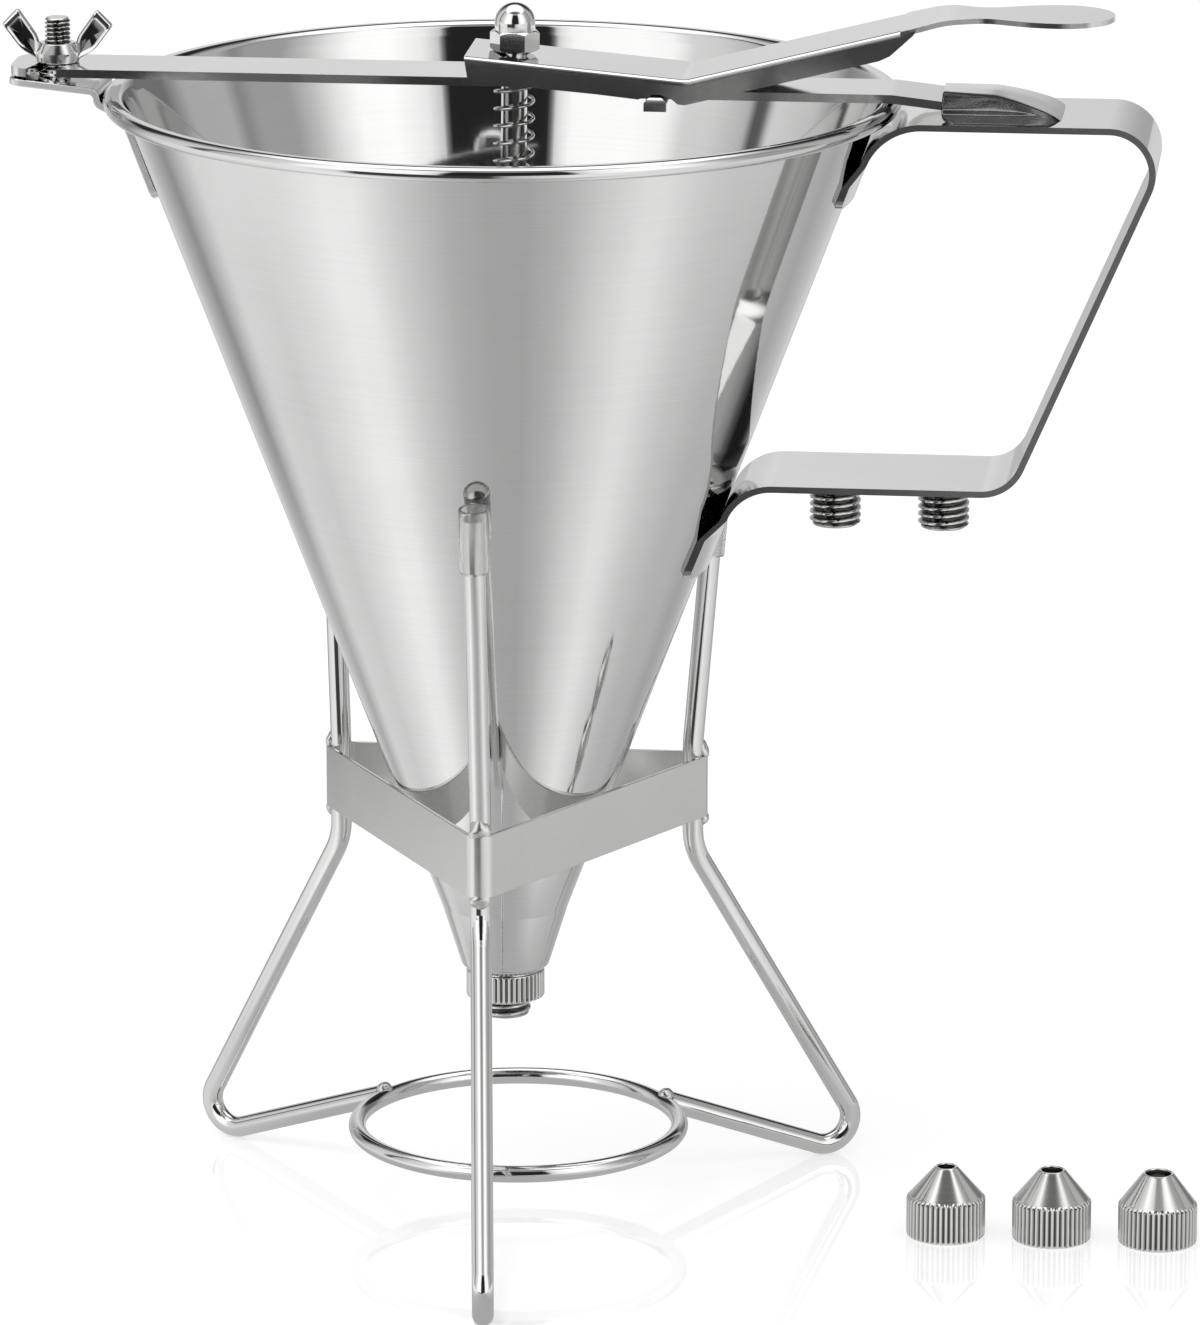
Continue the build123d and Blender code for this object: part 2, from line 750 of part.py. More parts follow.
# ---------------------------------------------------------------- stand
def sleeve_axis(name):
    """Top of a sleeve and its lean from vertical, in the leg's own plane."""
    top = band_top + leg_rises[name]
    radius = cone_radius(top) + cradle_clearance + sleeve_radius
    return (radius, top), atan2(radius - leg_circle, top - leg_bend_height)


def foot_line(name):
    """Plane of a leg's lower half, and how far along it the foot and the ring are."""
    leg = radians(leg_azimuths[name])
    knee = Vector(leg_circle * cos(leg), leg_circle * sin(leg))
    toe = radians(foot_azimuths[name])
    reach = leg_circle + foot_reaches[name]
    run = Vector(reach * cos(toe), reach * sin(toe)) - knee
    outwards = run.normalized()
    from_ring = knee - Vector(base_ring_shift, 0)
    along = from_ring.dot(outwards)
    joint_radius = base_ring_radius + base_ring_wire - 0.3
    ring = sqrt(along**2 - from_ring.dot(from_ring) + joint_radius**2) - along
    plane = upright_plane(degrees(atan2(run.Y, run.X)), (knee.X, knee.Y))
    return plane, run.length, ring


def foot_corner(reach, ring):
    """Where the outer and inner runs of a leg would meet below its foot."""
    centre = (reach - foot_bend, leg_wire_radius + foot_bend)
    outer = touch_angle(centre, (0, knee_height), foot_bend, -1)
    inner = touch_angle(centre, (ring, base_ring_height), foot_bend, 1)
    span = foot_bend / (1 + cos(outer - inner))
    return (
        centre[0] + span * (cos(outer) + cos(inner)),
        centre[1] + span * (sin(outer) + sin(inner)),
    )


def bent_leg(name):
    """A wire leg: up beside the cone, through the band, out to its foot and in to the ring."""
    (radius, top), lean = sleeve_axis(name)
    upper = upright_plane(leg_azimuths[name])
    lower, reach, ring = foot_line(name)
    wire_end = (radius - sleeve_overlap * sin(lean), top - sleeve_overlap * cos(lean))
    with BuildPart() as leg:
        with BuildLine() as path:
            FilletPolyline(
                upper.from_local_coords((*wire_end, 0)),
                upper.from_local_coords((leg_circle, leg_bend_height, 0)),
                lower.from_local_coords((0, knee_height, 0)),
                lower.from_local_coords((*foot_corner(reach, ring), 0)),
                lower.from_local_coords((ring, base_ring_height, 0)),
                radius=[25.0, 16.0, foot_bend],
            )
        with BuildSketch(Plane(origin=path.line @ 0, z_dir=path.line % 0)):
            Circle(leg_wire_radius)
        sweep(path=path.line)
        with BuildSketch(Plane.XZ):
            with Locations((base_ring_shift + base_ring_radius, base_ring_height)):
                Circle(base_ring_wire + weld_gap)
        revolve(axis=Axis((base_ring_shift, 0, 0), (0, 0, 1)), mode=Mode.SUBTRACT)
    return leg


def leg_sleeve(name):
    """A soft tube over a leg's upper end."""
    (radius, top), lean = sleeve_axis(name)
    plane = upright_plane(leg_azimuths[name])
    upper = plane.from_local_coords((radius, top, 0))
    lower = plane.from_local_coords(
        (radius - sleeve_length * sin(lean), top - sleeve_length * cos(lean), 0)
    )
    with BuildPart() as sleeve:
        with BuildSketch(Plane(origin=lower, z_dir=upper - lower)):
            Circle(sleeve_radius)
            Circle(sleeve_radius - sleeve_wall, mode=Mode.SUBTRACT)
        extrude(amount=sleeve_length)
    return sleeve


with BuildPart() as base_ring:
    with BuildSketch(Plane.XZ):
        with Locations((base_ring_shift + base_ring_radius, base_ring_height)):
            Circle(base_ring_wire)
    revolve(axis=Axis((base_ring_shift, 0, 0), (0, 0, 1)))

with BuildPart() as cradle_band:
    inside = leg_wire_radius + weld_gap
    first = leg_azimuths["front"]
    with BuildSketch(Plane.XY.offset(band_top - band_height)):
        with PolarLocations(leg_circle, 3, start_angle=first):
            Circle(inside + band_thickness)
        make_hull()
        with BuildSketch(mode=Mode.SUBTRACT):
            with PolarLocations(leg_circle, 3, start_angle=first):
                Circle(inside)
            make_hull()
    extrude(amount=band_height)


# ---------------------------------------------------------------- nozzles
def nozzle(index, orifice):
    """A screw-on nozzle standing on its open end."""
    x = nozzle_first[0] + index * nozzle_pitch
    y = nozzle_first[1]
    socket = thread_radius + thread_clearance
    with BuildPart() as body:
        with BuildSketch(Plane.XZ.offset(-y)):
            with BuildLine():
                Polyline(
                    (x + socket, 0),
                    (x + nozzle_radius - 0.5, 0),
                    (x + nozzle_radius, 0.5),
                    (x + nozzle_radius, nozzle_knurl_height),
                    (x + orifice + nozzle_lip, nozzle_height),
                    (x + orifice, nozzle_height),
                    (x + orifice, nozzle_height - 3.0),
                    (x + socket, nozzle_thread_depth),
                    close=True,
                )
            make_face()
        revolve(axis=Axis((x, y, 0), (0, 0, 1)))
    return body


# ---------------------------------------------------------------- write the pieces
pieces = {
    "funnel_cone": funnel_cone,
    "outlet_spout": outlet_spout,
    "knurled_collar": knurled_collar,
    "handle_strip": handle_strip,
    "storage_stud_inner": storage_stud_inner,
    "storage_stud_outer": storage_stud_outer,
    "bar_socket": bar_socket,
    "bar_bracket": bar_bracket,
    "bar_stud": bar_stud,
    "crossbar": crossbar,
    "lever": lever,
    "valve_plug": valve_plug,
    "valve_rod": valve_rod,
    "spring_collar": spring_collar,
    "spring": spring,
    "acorn_nut": acorn_nut,
    "wing_nut": wing_nut,
    "base_ring": base_ring,
    "cradle_band": cradle_band,
}
leaning = [valve_plug, valve_rod, spring_collar, spring, acorn_nut]
for side in leg_azimuths:
    pieces["leg_" + side] = bent_leg(side)
    pieces["sleeve_" + side] = leg_sleeve(side)
for index, (size, orifice) in enumerate(nozzle_orifices.items()):
    pieces["nozzle_" + size] = nozzle(index, orifice)

for name, piece in pieces.items():
    part = leaned(piece.part) if piece in leaning else piece.part
    part.label = name
    export_step(part, "parts/" + name + ".step")
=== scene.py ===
"""A batter dispenser resting in its wire stand, with its three nozzles beside it.

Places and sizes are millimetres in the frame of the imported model: +Z up along the funnel's
axis, +X towards the handle. The mesh functions turn them into metres.
"""

import json
import math
from collections import namedtuple

import bmesh
import bpy
import numpy as np
from bpy.props import FloatProperty, FloatVectorProperty, IntProperty, PointerProperty
from bpy.types import Operator, Panel, PropertyGroup
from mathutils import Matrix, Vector


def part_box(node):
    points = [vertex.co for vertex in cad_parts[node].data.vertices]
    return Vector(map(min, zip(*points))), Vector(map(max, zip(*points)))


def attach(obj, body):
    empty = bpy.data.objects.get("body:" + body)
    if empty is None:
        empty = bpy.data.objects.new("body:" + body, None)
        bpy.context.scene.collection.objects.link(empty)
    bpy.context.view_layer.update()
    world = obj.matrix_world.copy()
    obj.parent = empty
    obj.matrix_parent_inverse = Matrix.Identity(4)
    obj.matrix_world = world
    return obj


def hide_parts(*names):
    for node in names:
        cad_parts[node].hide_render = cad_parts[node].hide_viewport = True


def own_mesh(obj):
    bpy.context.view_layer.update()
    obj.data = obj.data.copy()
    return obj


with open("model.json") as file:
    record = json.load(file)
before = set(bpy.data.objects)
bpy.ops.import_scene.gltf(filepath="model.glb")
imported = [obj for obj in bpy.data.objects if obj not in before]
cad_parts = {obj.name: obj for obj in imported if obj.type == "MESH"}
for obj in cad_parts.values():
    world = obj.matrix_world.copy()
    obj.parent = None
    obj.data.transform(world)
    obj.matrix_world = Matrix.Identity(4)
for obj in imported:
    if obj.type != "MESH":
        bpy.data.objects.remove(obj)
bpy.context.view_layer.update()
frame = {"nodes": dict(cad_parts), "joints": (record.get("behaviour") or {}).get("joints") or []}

bl_info = {
    "name": "Batter dispenser",
    "version": (1, 0, 0),
    "blender": (4, 5, 0),
    "location": "View3D > Sidebar > Dispenser",
    "description": "Builds a cone funnel batter dispenser with its stand and nozzles",
    "category": "Add Mesh",
}

MM = 0.001


def cad_box(node):
    """Lowest and highest corner of a CAD node, in millimetres."""
    low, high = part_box(node)
    return np.array(low) / MM, np.array(high) / MM


def upright(node):
    """Place of an upright node's axis, and its lowest and highest height."""
    low, high = cad_box(node)
    middle = (low + high) / 2
    return middle[0], middle[1], low[2], high[2]


# ---------------------------------------------------------------- sizes of the frame
cone_low, cone_high = cad_box("funnel_cone")
RIM_RADIUS = cone_high[0]
RIM_TOP = cone_high[2]
CONE_FLOOR = cone_low[2]
ROLL_RADIUS = 1.75
ROLL_HEIGHT = RIM_TOP - ROLL_RADIUS
ROLL_CENTRE = RIM_RADIUS - ROLL_RADIUS
RIM_OVERHANG = 4.3
WALL = 0.8
SHOULDER = (15.0, 73.0)            # radius and height where the cone turns steeper
FOOT = (10.4, 58.4)
CONE_SLOPE = (RIM_RADIUS - RIM_OVERHANG - SHOULDER[0]) / (ROLL_HEIGHT - SHOULDER[1])

SHANK_RADIUS = 6.4                 # of the outlet through the cone and the collar
SHANK_HOLE = SHANK_RADIUS + 0.05
THREAD_RADIUS = 6.0                # M12
OUTLET_BORE = 4.2
FLANGE_RADIUS = 8.2
SEAT_DEPTH = 1.6

BALL_CENTRE = 64.7                 # of the valve plug's ball end, on the funnel's axis
BALL_RADIUS = 7.02
PLUG_RADIUS = 6.2
ROD_RADIUS = 3.0                   # M6
ROD_HOLE = ROD_RADIUS + 0.05
ROD_OFFSET = (2.7, 272.4)          # of the rod from the funnel's axis, at the crossbar
ROD_LEAN = math.atan2(ROD_OFFSET[0], ROD_OFFSET[1] - BALL_CENTRE)
ROD_BASE = (0.0, 0.0, BALL_CENTRE)
ROD_AXIS = (math.sin(ROD_LEAN), 0.0, math.cos(ROD_LEAN))
SPRING_SEAT = 241.2
BAR_UNDERSIDE = 271.4
NUT_BOTTOM = 278.2
NUT_FLATS = 10.0                   # across them
NUT_FLATS_TOP = 4.8                # their height over the nut's underside

WIRE_RADIUS = 2.5
BAND_TOP = cad_box("cradle_band")[1][2]
BAND_HEIGHT = 15.0
LEG_CIRCLE = 48.894                # of the legs' centre lines through the band
LEG_BEND = 107.0
KNEE = 81.1
FOOT_BEND = 6.5
RING_CENTRE = (3.0, 0.0)
RING_RADIUS = LEG_CIRCLE - 10.4
RING_WIRE = 2.0
RING_HEIGHT = 18.0
CRADLE_CLEARANCE = 0.3
SLEEVE_RADIUS = 3.45
SLEEVE_WALL = 0.85
SLEEVE_LENGTH = 15.5
SLEEVE_OVERLAP = 2.5
# each leg: azimuth, top of its sleeve, azimuth of its foot, reach of its foot past the band
Leg = namedtuple("Leg", "azimuth top toe past_band")
LEGS = {
    "front": Leg(-90.0, 183.7, -86.4, 51.4),
    "right": Leg(30.0, 168.0, 28.6, 41.3),
    "left": Leg(150.0, 157.5, 151.5, 38.8),
}

NOZZLE_RADIUS = 9.3
NOZZLE_HEIGHT = 16.8
NOZZLE_EDGE = 9.2                  # where the cone of a nozzle starts
NOZZLE_SOCKET = 6.05
NOZZLE_LIP = 0.6
SOCKET_DEPTH = 9.0                 # of a nozzle's socket
ORIFICE_LENGTH = 3.0
ORIFICES = {"small": 2.0, "medium": 2.5, "large": 3.0}      # radii

# The camera: place in metres, dip below level and turn from the Y axis in degrees
CAMERA_PLACE = (0.2252, -1.9277, 0.6414)
CAMERA_DIP = 14.713
CAMERA_TURN = 6.0
CAMERA_LENS = 231.58
CAMERA_SENSOR = 36.0

# The studio as the metal mirrors it: degrees round the object from the camera's side, positive
# to the right, and the brightness there. The near floor reaches to FLOOR_CHANGE.
SKY_TONES = (
    (-180, 0.80), (-152, 0.45), (-134, 0.28), (-122, 0.66), (-102, 0.80), (-98, 0.12),
    (-94, 0.12), (-91, 0.58), (-76, 0.80), (-66, 0.84), (-58, 1.22), (-46, 1.30), (-24, 1.25),
    (-18.5, 0.90), (-16.5, 0.02), (20.5, 0.02), (22.5, 0.75), (28, 1.10), (40, 1.32),
    (52, 1.28), (60, 1.02), (69, 0.66), (78, 0.42), (92, 0.42), (98, 0.30), (104, 0.52),
    (122, 0.50), (134, 0.20), (153, 0.20), (180, 0.80),
)
NEAR_FLOOR_TONES = (
    (-180, 0.60), (-160, 0.75), (-134, 0.50), (-118, 0.82), (-95, 0.78), (-77, 0.92),
    (-61, 1.08), (-50, 1.06), (-35, 0.78), (-18, 0.55), (-5, 0.475), (8, 0.46), (21, 0.57),
    (34, 0.78), (49, 0.96), (56, 0.95), (73, 0.74), (97, 0.58), (115, 0.55), (130, 0.45),
    (180, 0.60),
)
FAR_FLOOR_TONES = (
    (-180, 0.50), (-172, 0.55), (-160, 0.70), (-134, 0.34), (-115, 0.85), (-90, 0.95),
    (-58, 1.0), (-46, 0.90), (-41, 0.06), (-3, 0.04), (3, 0.60), (20, 1.0), (90, 0.74),
    (130, 0.46), (160, 0.70), (172, 0.55), (180, 0.50),
)
FLOOR_CHANGE = (0.31, 0.43)        # metres from the axis where near floor gives way to far
UNDER_STAND = (0.06, 0.10)         # metres from the axis where the shade under the cone ends
UNDER_TONE = 0.5
FLOOR_SIZE = 9000.0                # from the axis to each side
FLOOR_WHITE = 0.86
FLOOR_GLOW = 0.56
FLOOR_BLUR = 0.03
EVEN_LIGHT = 0.6                   # the world's strength for everything but metal
LAMP_AIM = (0.02, 0.0, 0.15)


def cone_radius(height):
    """Outside radius of the cone's wall at a height."""
    return SHOULDER[0] + CONE_SLOPE * (height - SHOULDER[1])


# ---------------------------------------------------------------- settings
class DispenserSizes(PropertyGroup):
    """Sizes of the fine detail that finishes the pieces."""

    nozzle_pitch: FloatProperty(
        name="Nozzle thread pitch",
        description="Rise of one turn of the outlet's and the storage studs' threads",
        default=0.00175, unit="LENGTH",
    )
    stud_pitch: FloatProperty(
        name="Stud thread pitch",
        description="Rise of one turn of the wing nut's stud",
        default=0.001, unit="LENGTH",
    )
    knurl_ridges: IntProperty(
        name="Knurl ridges",
        description="Ridges round each nozzle and round the collar",
        default=44, min=12,
    )
    knurl_depth: FloatProperty(
        name="Knurl depth",
        description="Depth of the grooves between the knurl's ridges",
        default=0.0005, unit="LENGTH",
    )
    edge_softness: FloatProperty(
        name="Edge softness",
        description="Width of the rounding along the edges of the sheet pieces",
        default=0.00022, unit="LENGTH",
    )
    bead_size: FloatProperty(
        name="Weld bead",
        description="Radius of the weld beads on the stand",
        default=0.0019, unit="LENGTH",
    )


class DispenserFinish(PropertyGroup):
    """Colours and polish of the pieces."""

    steel: FloatVectorProperty(
        name="Polished steel",
        description="Colour of the strips, wires and the rod",
        default=(0.80, 0.80, 0.795), subtype="COLOR",
    )
    cone: FloatVectorProperty(
        name="Cone steel",
        description="Colour of the funnel's fine brushed steel",
        default=(0.77, 0.77, 0.765), subtype="COLOR",
    )
    satin: FloatVectorProperty(
        name="Satin steel",
        description="Colour of the turned pieces and the stand's band",
        default=(0.72, 0.72, 0.71), subtype="COLOR",
    )
    tube: FloatVectorProperty(
        name="Soft tube",
        description="Colour of the clear tubes over the legs",
        default=(0.92, 0.92, 0.91), subtype="COLOR",
    )
    floor_mirror: FloatProperty(
        name="Floor mirror",
        description="Share of the pale floor that mirrors what stands on it",
        default=0.22, min=0.0, max=1.0, subtype="FACTOR",
    )


# ---------------------------------------------------------------- mesh making
def new_object(name, mesh, crease):
    """An object with smooth faces and hard edges where they turn by more than the crease."""
    mesh.validate()
    mesh.shade_smooth()
    mesh.set_sharp_from_angle(angle=math.radians(crease))
    made = bpy.data.objects.new(name, mesh)
    bpy.context.scene.collection.objects.link(made)
    return made


def skin(name, grid, closed=(False, False), lids=(), crease=32.0):
    """Four-sided faces over a grid of points.

    closed says whether the rows, and the points of each row, come back to the start, and lids
    names the rows, 0 or -1, that get a face of their own. The six-fold volume under the faces
    is the sum of a . (b x c) over their triangles, and its sign turns them outwards.
    """
    rows, across = grid.shape[:2]
    i = np.arange(rows if closed[0] else rows - 1)[:, None]
    j = np.arange(across if closed[1] else across - 1)[None]
    below = (i + 1) % rows
    beside = (j + 1) % across
    quads = np.stack(
        [i * across + j, i * across + beside, below * across + beside, below * across + j], -1
    ).reshape(-1, 4)
    points = grid.reshape(-1, 3)
    triangles = np.vstack([quads[:, [0, 1, 2]], quads[:, [0, 2, 3]]])
    loops = []
    for row in lids:
        ring = (row % rows) * across + np.arange(across)
        ring = ring[::-1] if row == 0 else ring
        loops.append(ring)
        fan = np.stack([np.full(across - 2, ring[0]), ring[1:-1], ring[2:]], -1)
        triangles = np.vstack([triangles, fan])
    a, b, c = (points[triangles[:, k]] for k in range(3))
    outwards = np.sum(a * np.cross(b, c)) > 0
    faces = quads.tolist() + [ring.tolist() for ring in loops]
    if not outwards:
        faces = [face[::-1] for face in faces]
    mesh = bpy.data.meshes.new(name)
    mesh.from_pydata((points * MM).tolist(), [], faces)
    return new_object(name, mesh, crease)


def axes_of(direction):
    """Two unit directions square to an axis and to each other, and the axis itself."""
    along = np.array(direction, float) / np.linalg.norm(direction)
    first = np.cross((0.0, 1.0, 0.0), along)
    first = first / np.linalg.norm(first)
    return first, np.cross(along, first), along


def rounded(points, radii, steps=8):
    """A line of runs with its inner corners turned into arcs.

    An arc of radius r touches both runs at r / tan(half the corner) from the corner, round a
    centre at r / sin(half the corner) along the bisector. Points on it are the two end radii
    mixed by sin((1 - t) w) and sin(t w), over sin(w), where w is the turn.
    """
    points = [np.asarray(p, float) for p in points]
    parts = [points[0][None]]
    for before, corner, after, radius in zip(points, points[1:], points[2:], radii):
        back = (before - corner) / np.linalg.norm(before - corner)
        ahead = (after - corner) / np.linalg.norm(after - corner)
        half = math.acos(np.clip(back @ ahead, -1, 1)) / 2
        turn = math.pi - 2 * half
        if radius == 0 or turn < 0.01:
            parts.append(corner[None])
            continue
        middle = (back + ahead) / np.linalg.norm(back + ahead)
        centre = corner + middle * radius / math.sin(half)
        start = corner + back * radius / math.tan(half) - centre
        end = corner + ahead * radius / math.tan(half) - centre
        t = np.linspace(0, 1, max(3, math.ceil(steps * turn / math.pi * 2) + 1))[:, None]
        arc = (np.sin((1 - t) * turn) * start + np.sin(t * turn) * end) / math.sin(turn)
        parts.append(centre + arc)
    parts.append(points[-1][None])
    return np.vstack(parts)


def closed_round(points, radii, steps=8):
    """As rounded, for a loop: every corner is turned into an arc."""
    points = [np.asarray(p, float) for p in points]
    start = (points[-1] + points[0]) / 2
    return rounded([start, *points, start], radii, steps)[:-1]


def ring_profile(inner, outer, low, high, radii, steps=5):
    """Section of a turned ring: a rectangle of radius and height with rounded corners."""
    return closed_round([(inner, low), (outer, low), (outer, high), (inner, high)], radii, steps)


def braced(profile, reach=0.25):
    """A profile with a point added near both ends of each long run, which keeps shading flat."""
    parts = [profile[0][None]]
    for a, b in zip(profile[:-1], profile[1:]):
        length = np.linalg.norm(b - a)
        if length > 4 * reach:
            step = (b - a) * reach / length
            parts += [(a + step)[None], (b - step)[None]]
        parts.append(b[None])
    return np.vstack(parts)


def divided(profile, step):
    """A profile with every run cut into equal pieces no longer than a step."""
    parts = [profile[0][None]]
    for a, b in zip(profile[:-1], profile[1:]):
        count = max(1, math.ceil(np.linalg.norm(b - a) / step))
        parts.append(a + (b - a) * np.linspace(0, 1, count + 1)[1:, None])
    return np.vstack(parts)


def note_grooves(made, depth):
    """Keeps how deep each point of a piece lies, from 0 to 1, for its material to paint shade by.
    """
    groove = made.data.attributes.new("groove", "FLOAT", "POINT")
    groove.data.foreach_set("value", np.asarray(depth, np.float32).ravel())


def lathe(name, profile, base=(0, 0, 0), axis=(0, 0, 1), steps=96, relief=None,
          lids=(0, -1), crease=32.0, deep=None):
    """A profile of radius and height turned about an axis.

    Point (i, j) is base + height_i axis + (radius_i + relief) (cos a_j e1 + sin a_j e2), where
    relief is a function of radius, height and angle. Without lids the profile is a loop. deep
    is a function of radius and height that tells which points lie in a bore; they are noted
    as deep as a groove's bottom, and the material paints shade there.
    """
    first, second, along = axes_of(axis)
    angle = np.linspace(0, 2 * math.pi, steps, endpoint=False)[None]
    radius, height = profile[:, :1], profile[:, 1:2]
    swell = relief(radius, height, angle) if relief else 0.0
    reach = (radius + swell + 0 * angle)[..., None]
    spokes = np.cos(angle)[..., None] * first + np.sin(angle)[..., None] * second
    grid = np.array(base, float) + height[..., None] * along + reach * spokes
    made = skin(name, grid, (not lids, True), lids, crease)
    if relief:
        depth = np.clip(-(swell + 0 * angle + 0 * radius), 0, None)
        depth = depth / max(depth.max(), 1e-6)
        if deep:
            depth = np.maximum(depth, deep(radius, height))
        note_grooves(made, depth)
    return made


def along(name, path, section, side, closed=False, crease=32.0):
    """A section carried along a path.

    Point (i, j) is path_i + x_j across_i + y_j up_i. The tangent is the mean of the directions
    of the two runs at a point, across is the side direction made square to it, and up is
    their cross product.
    """
    if closed:
        run = np.roll(path, -1, 0) - path
        run /= np.linalg.norm(run, axis=1, keepdims=True)
        tangent = run + np.roll(run, 1, 0)
    else:
        run = np.diff(path, axis=0)
        run /= np.linalg.norm(run, axis=1, keepdims=True)
        tangent = np.vstack([run[:1], run[1:] + run[:-1], run[-1:]])
    tangent /= np.linalg.norm(tangent, axis=1, keepdims=True)
    across = side - np.sum(tangent * side, axis=1, keepdims=True) * tangent
    across /= np.linalg.norm(across, axis=1, keepdims=True)
    up = np.cross(tangent, across)
    grid = (
        path[:, None]
        + section[None, :, :1] * across[:, None]
        + section[None, :, 1:] * up[:, None]
    )
    return skin(name, grid, (closed, True), () if closed else (0, -1), crease)


def ring_section(radius, steps=28):
    """A round section: radius times the cosine and sine of equal angles."""
    angle = np.linspace(0, 2 * math.pi, steps, endpoint=False)
    return radius * np.stack([np.cos(angle), np.sin(angle)], -1)


def thread(pitch, depth, low, high, beyond=0.0):
    """Relief of a screw thread between two heights, on the faces beyond a radius.

    The phase is height / pitch - angle / turn. The groove is deepest halfway between two
    crests, its flanks are straight, and it fades out over half a pitch at both ends.
    """

    def relief(radius, height, angle):
        phase = np.mod(height / pitch - angle / (2 * math.pi), 1)
        groove = np.clip(2.4 * (1 - np.abs(2 * phase - 1)) - 0.6, 0, 1)
        fade = np.clip(np.minimum(height - low, high - height) / (0.5 * pitch), 0, 1)
        return -depth * groove * fade * (radius > beyond)

    return relief


def knurl(ridges, depth, low, high, beyond=0.0):
    """Relief of straight ridges round a piece between two heights.

    The groove is (1 + cos(ridges times the angle)) / 2, to a power that narrows it a little,
    and it fades out over 0.25 mm at both ends.
    """

    def relief(radius, height, angle):
        groove = (0.5 + 0.5 * np.cos(ridges * angle)) ** 1.2
        fade = np.clip(np.minimum(height - low, high - height) / 0.25, 0, 1)
        return -depth * groove * fade * (radius > beyond)

    return relief


def knurled(name, profile, base, span, beyond, sizes, **more):
    """A turned ring with a knurl between two heights: eight points round it for each ridge."""
    ridges = knurl(sizes.knurl_ridges, sizes.knurl_depth / MM, *span, beyond)
    return lathe(
        name, profile, base, steps=sizes.knurl_ridges * 8, relief=ridges, lids=(), **more
    )


def softened(node, width, crease=35.0, trim=None):
    """A copy of a CAD node with its triangles joined, its flat faces whole and its edges rounded.

    trim is a place along X, in millimetres, and a shift for all that lies before it.
    """
    mesh = frame["nodes"][node].data.copy()
    mesh.name = node + "_soft"
    work = bmesh.new()
    work.from_mesh(mesh)
    bmesh.ops.remove_doubles(work, verts=work.verts, dist=2e-6)
    bmesh.ops.dissolve_limit(
        work, angle_limit=math.radians(0.6), verts=work.verts, edges=work.edges
    )
    work.to_mesh(mesh)
    work.free()
    if trim:
        places = np.empty(len(mesh.vertices) * 3, np.float32)
        mesh.vertices.foreach_get("co", places)
        places = places.reshape(-1, 3)
        places[places[:, 0] < trim[0] * MM] += np.array(trim[1], np.float32) * MM
        mesh.vertices.foreach_set("co", places.ravel())
    made = new_object(node + "_soft", mesh, crease)
    bevel = made.modifiers.new("rounded edges", "BEVEL")
    bevel.width = width
    bevel.segments = 3
    bevel.limit_method = "ANGLE"
    bevel.angle_limit = math.radians(crease)
    bevel.use_clamp_overlap = True
    flat = made.modifiers.new("flat faces", "WEIGHTED_NORMAL")
    flat.keep_sharp = True
    flat.weight = 80
    return made


def fit(made, body, slot, finish, *nodes):
    """Gives a piece its material and body, and hides the CAD nodes that it stands for; slot is not
    used.
    """
    made.data.materials.clear()
    made.data.materials.append(finish)
    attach(made, body)
    if nodes:
        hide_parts(*nodes)
    return made


# ---------------------------------------------------------------- shader making
SMEAR, PITS, MOTTLE = 38.0, 900.0, 420.0       # noise scales: how many to a metre


class Signal:
    """A shader socket that takes part in arithmetic by adding Math nodes."""

    def __init__(self, graph, socket):
        self.graph = graph
        self.socket = socket

    def __add__(self, other):
        return self.graph.maths("ADD", self, other)

    __radd__ = __add__

    def __sub__(self, other):
        return self.graph.maths("SUBTRACT", self, other)

    def __rsub__(self, other):
        return self.graph.maths("SUBTRACT", other, self)

    def __mul__(self, other):
        return self.graph.maths("MULTIPLY", self, other)

    __rmul__ = __mul__

    def __truediv__(self, other):
        return self.graph.maths("DIVIDE", self, other)

    def __rtruediv__(self, other):
        return self.graph.maths("DIVIDE", other, self)

    def clipped(self):
        """The value kept between 0 and 1."""
        return self.graph.node("ShaderNodeClamp", {"Value": self})


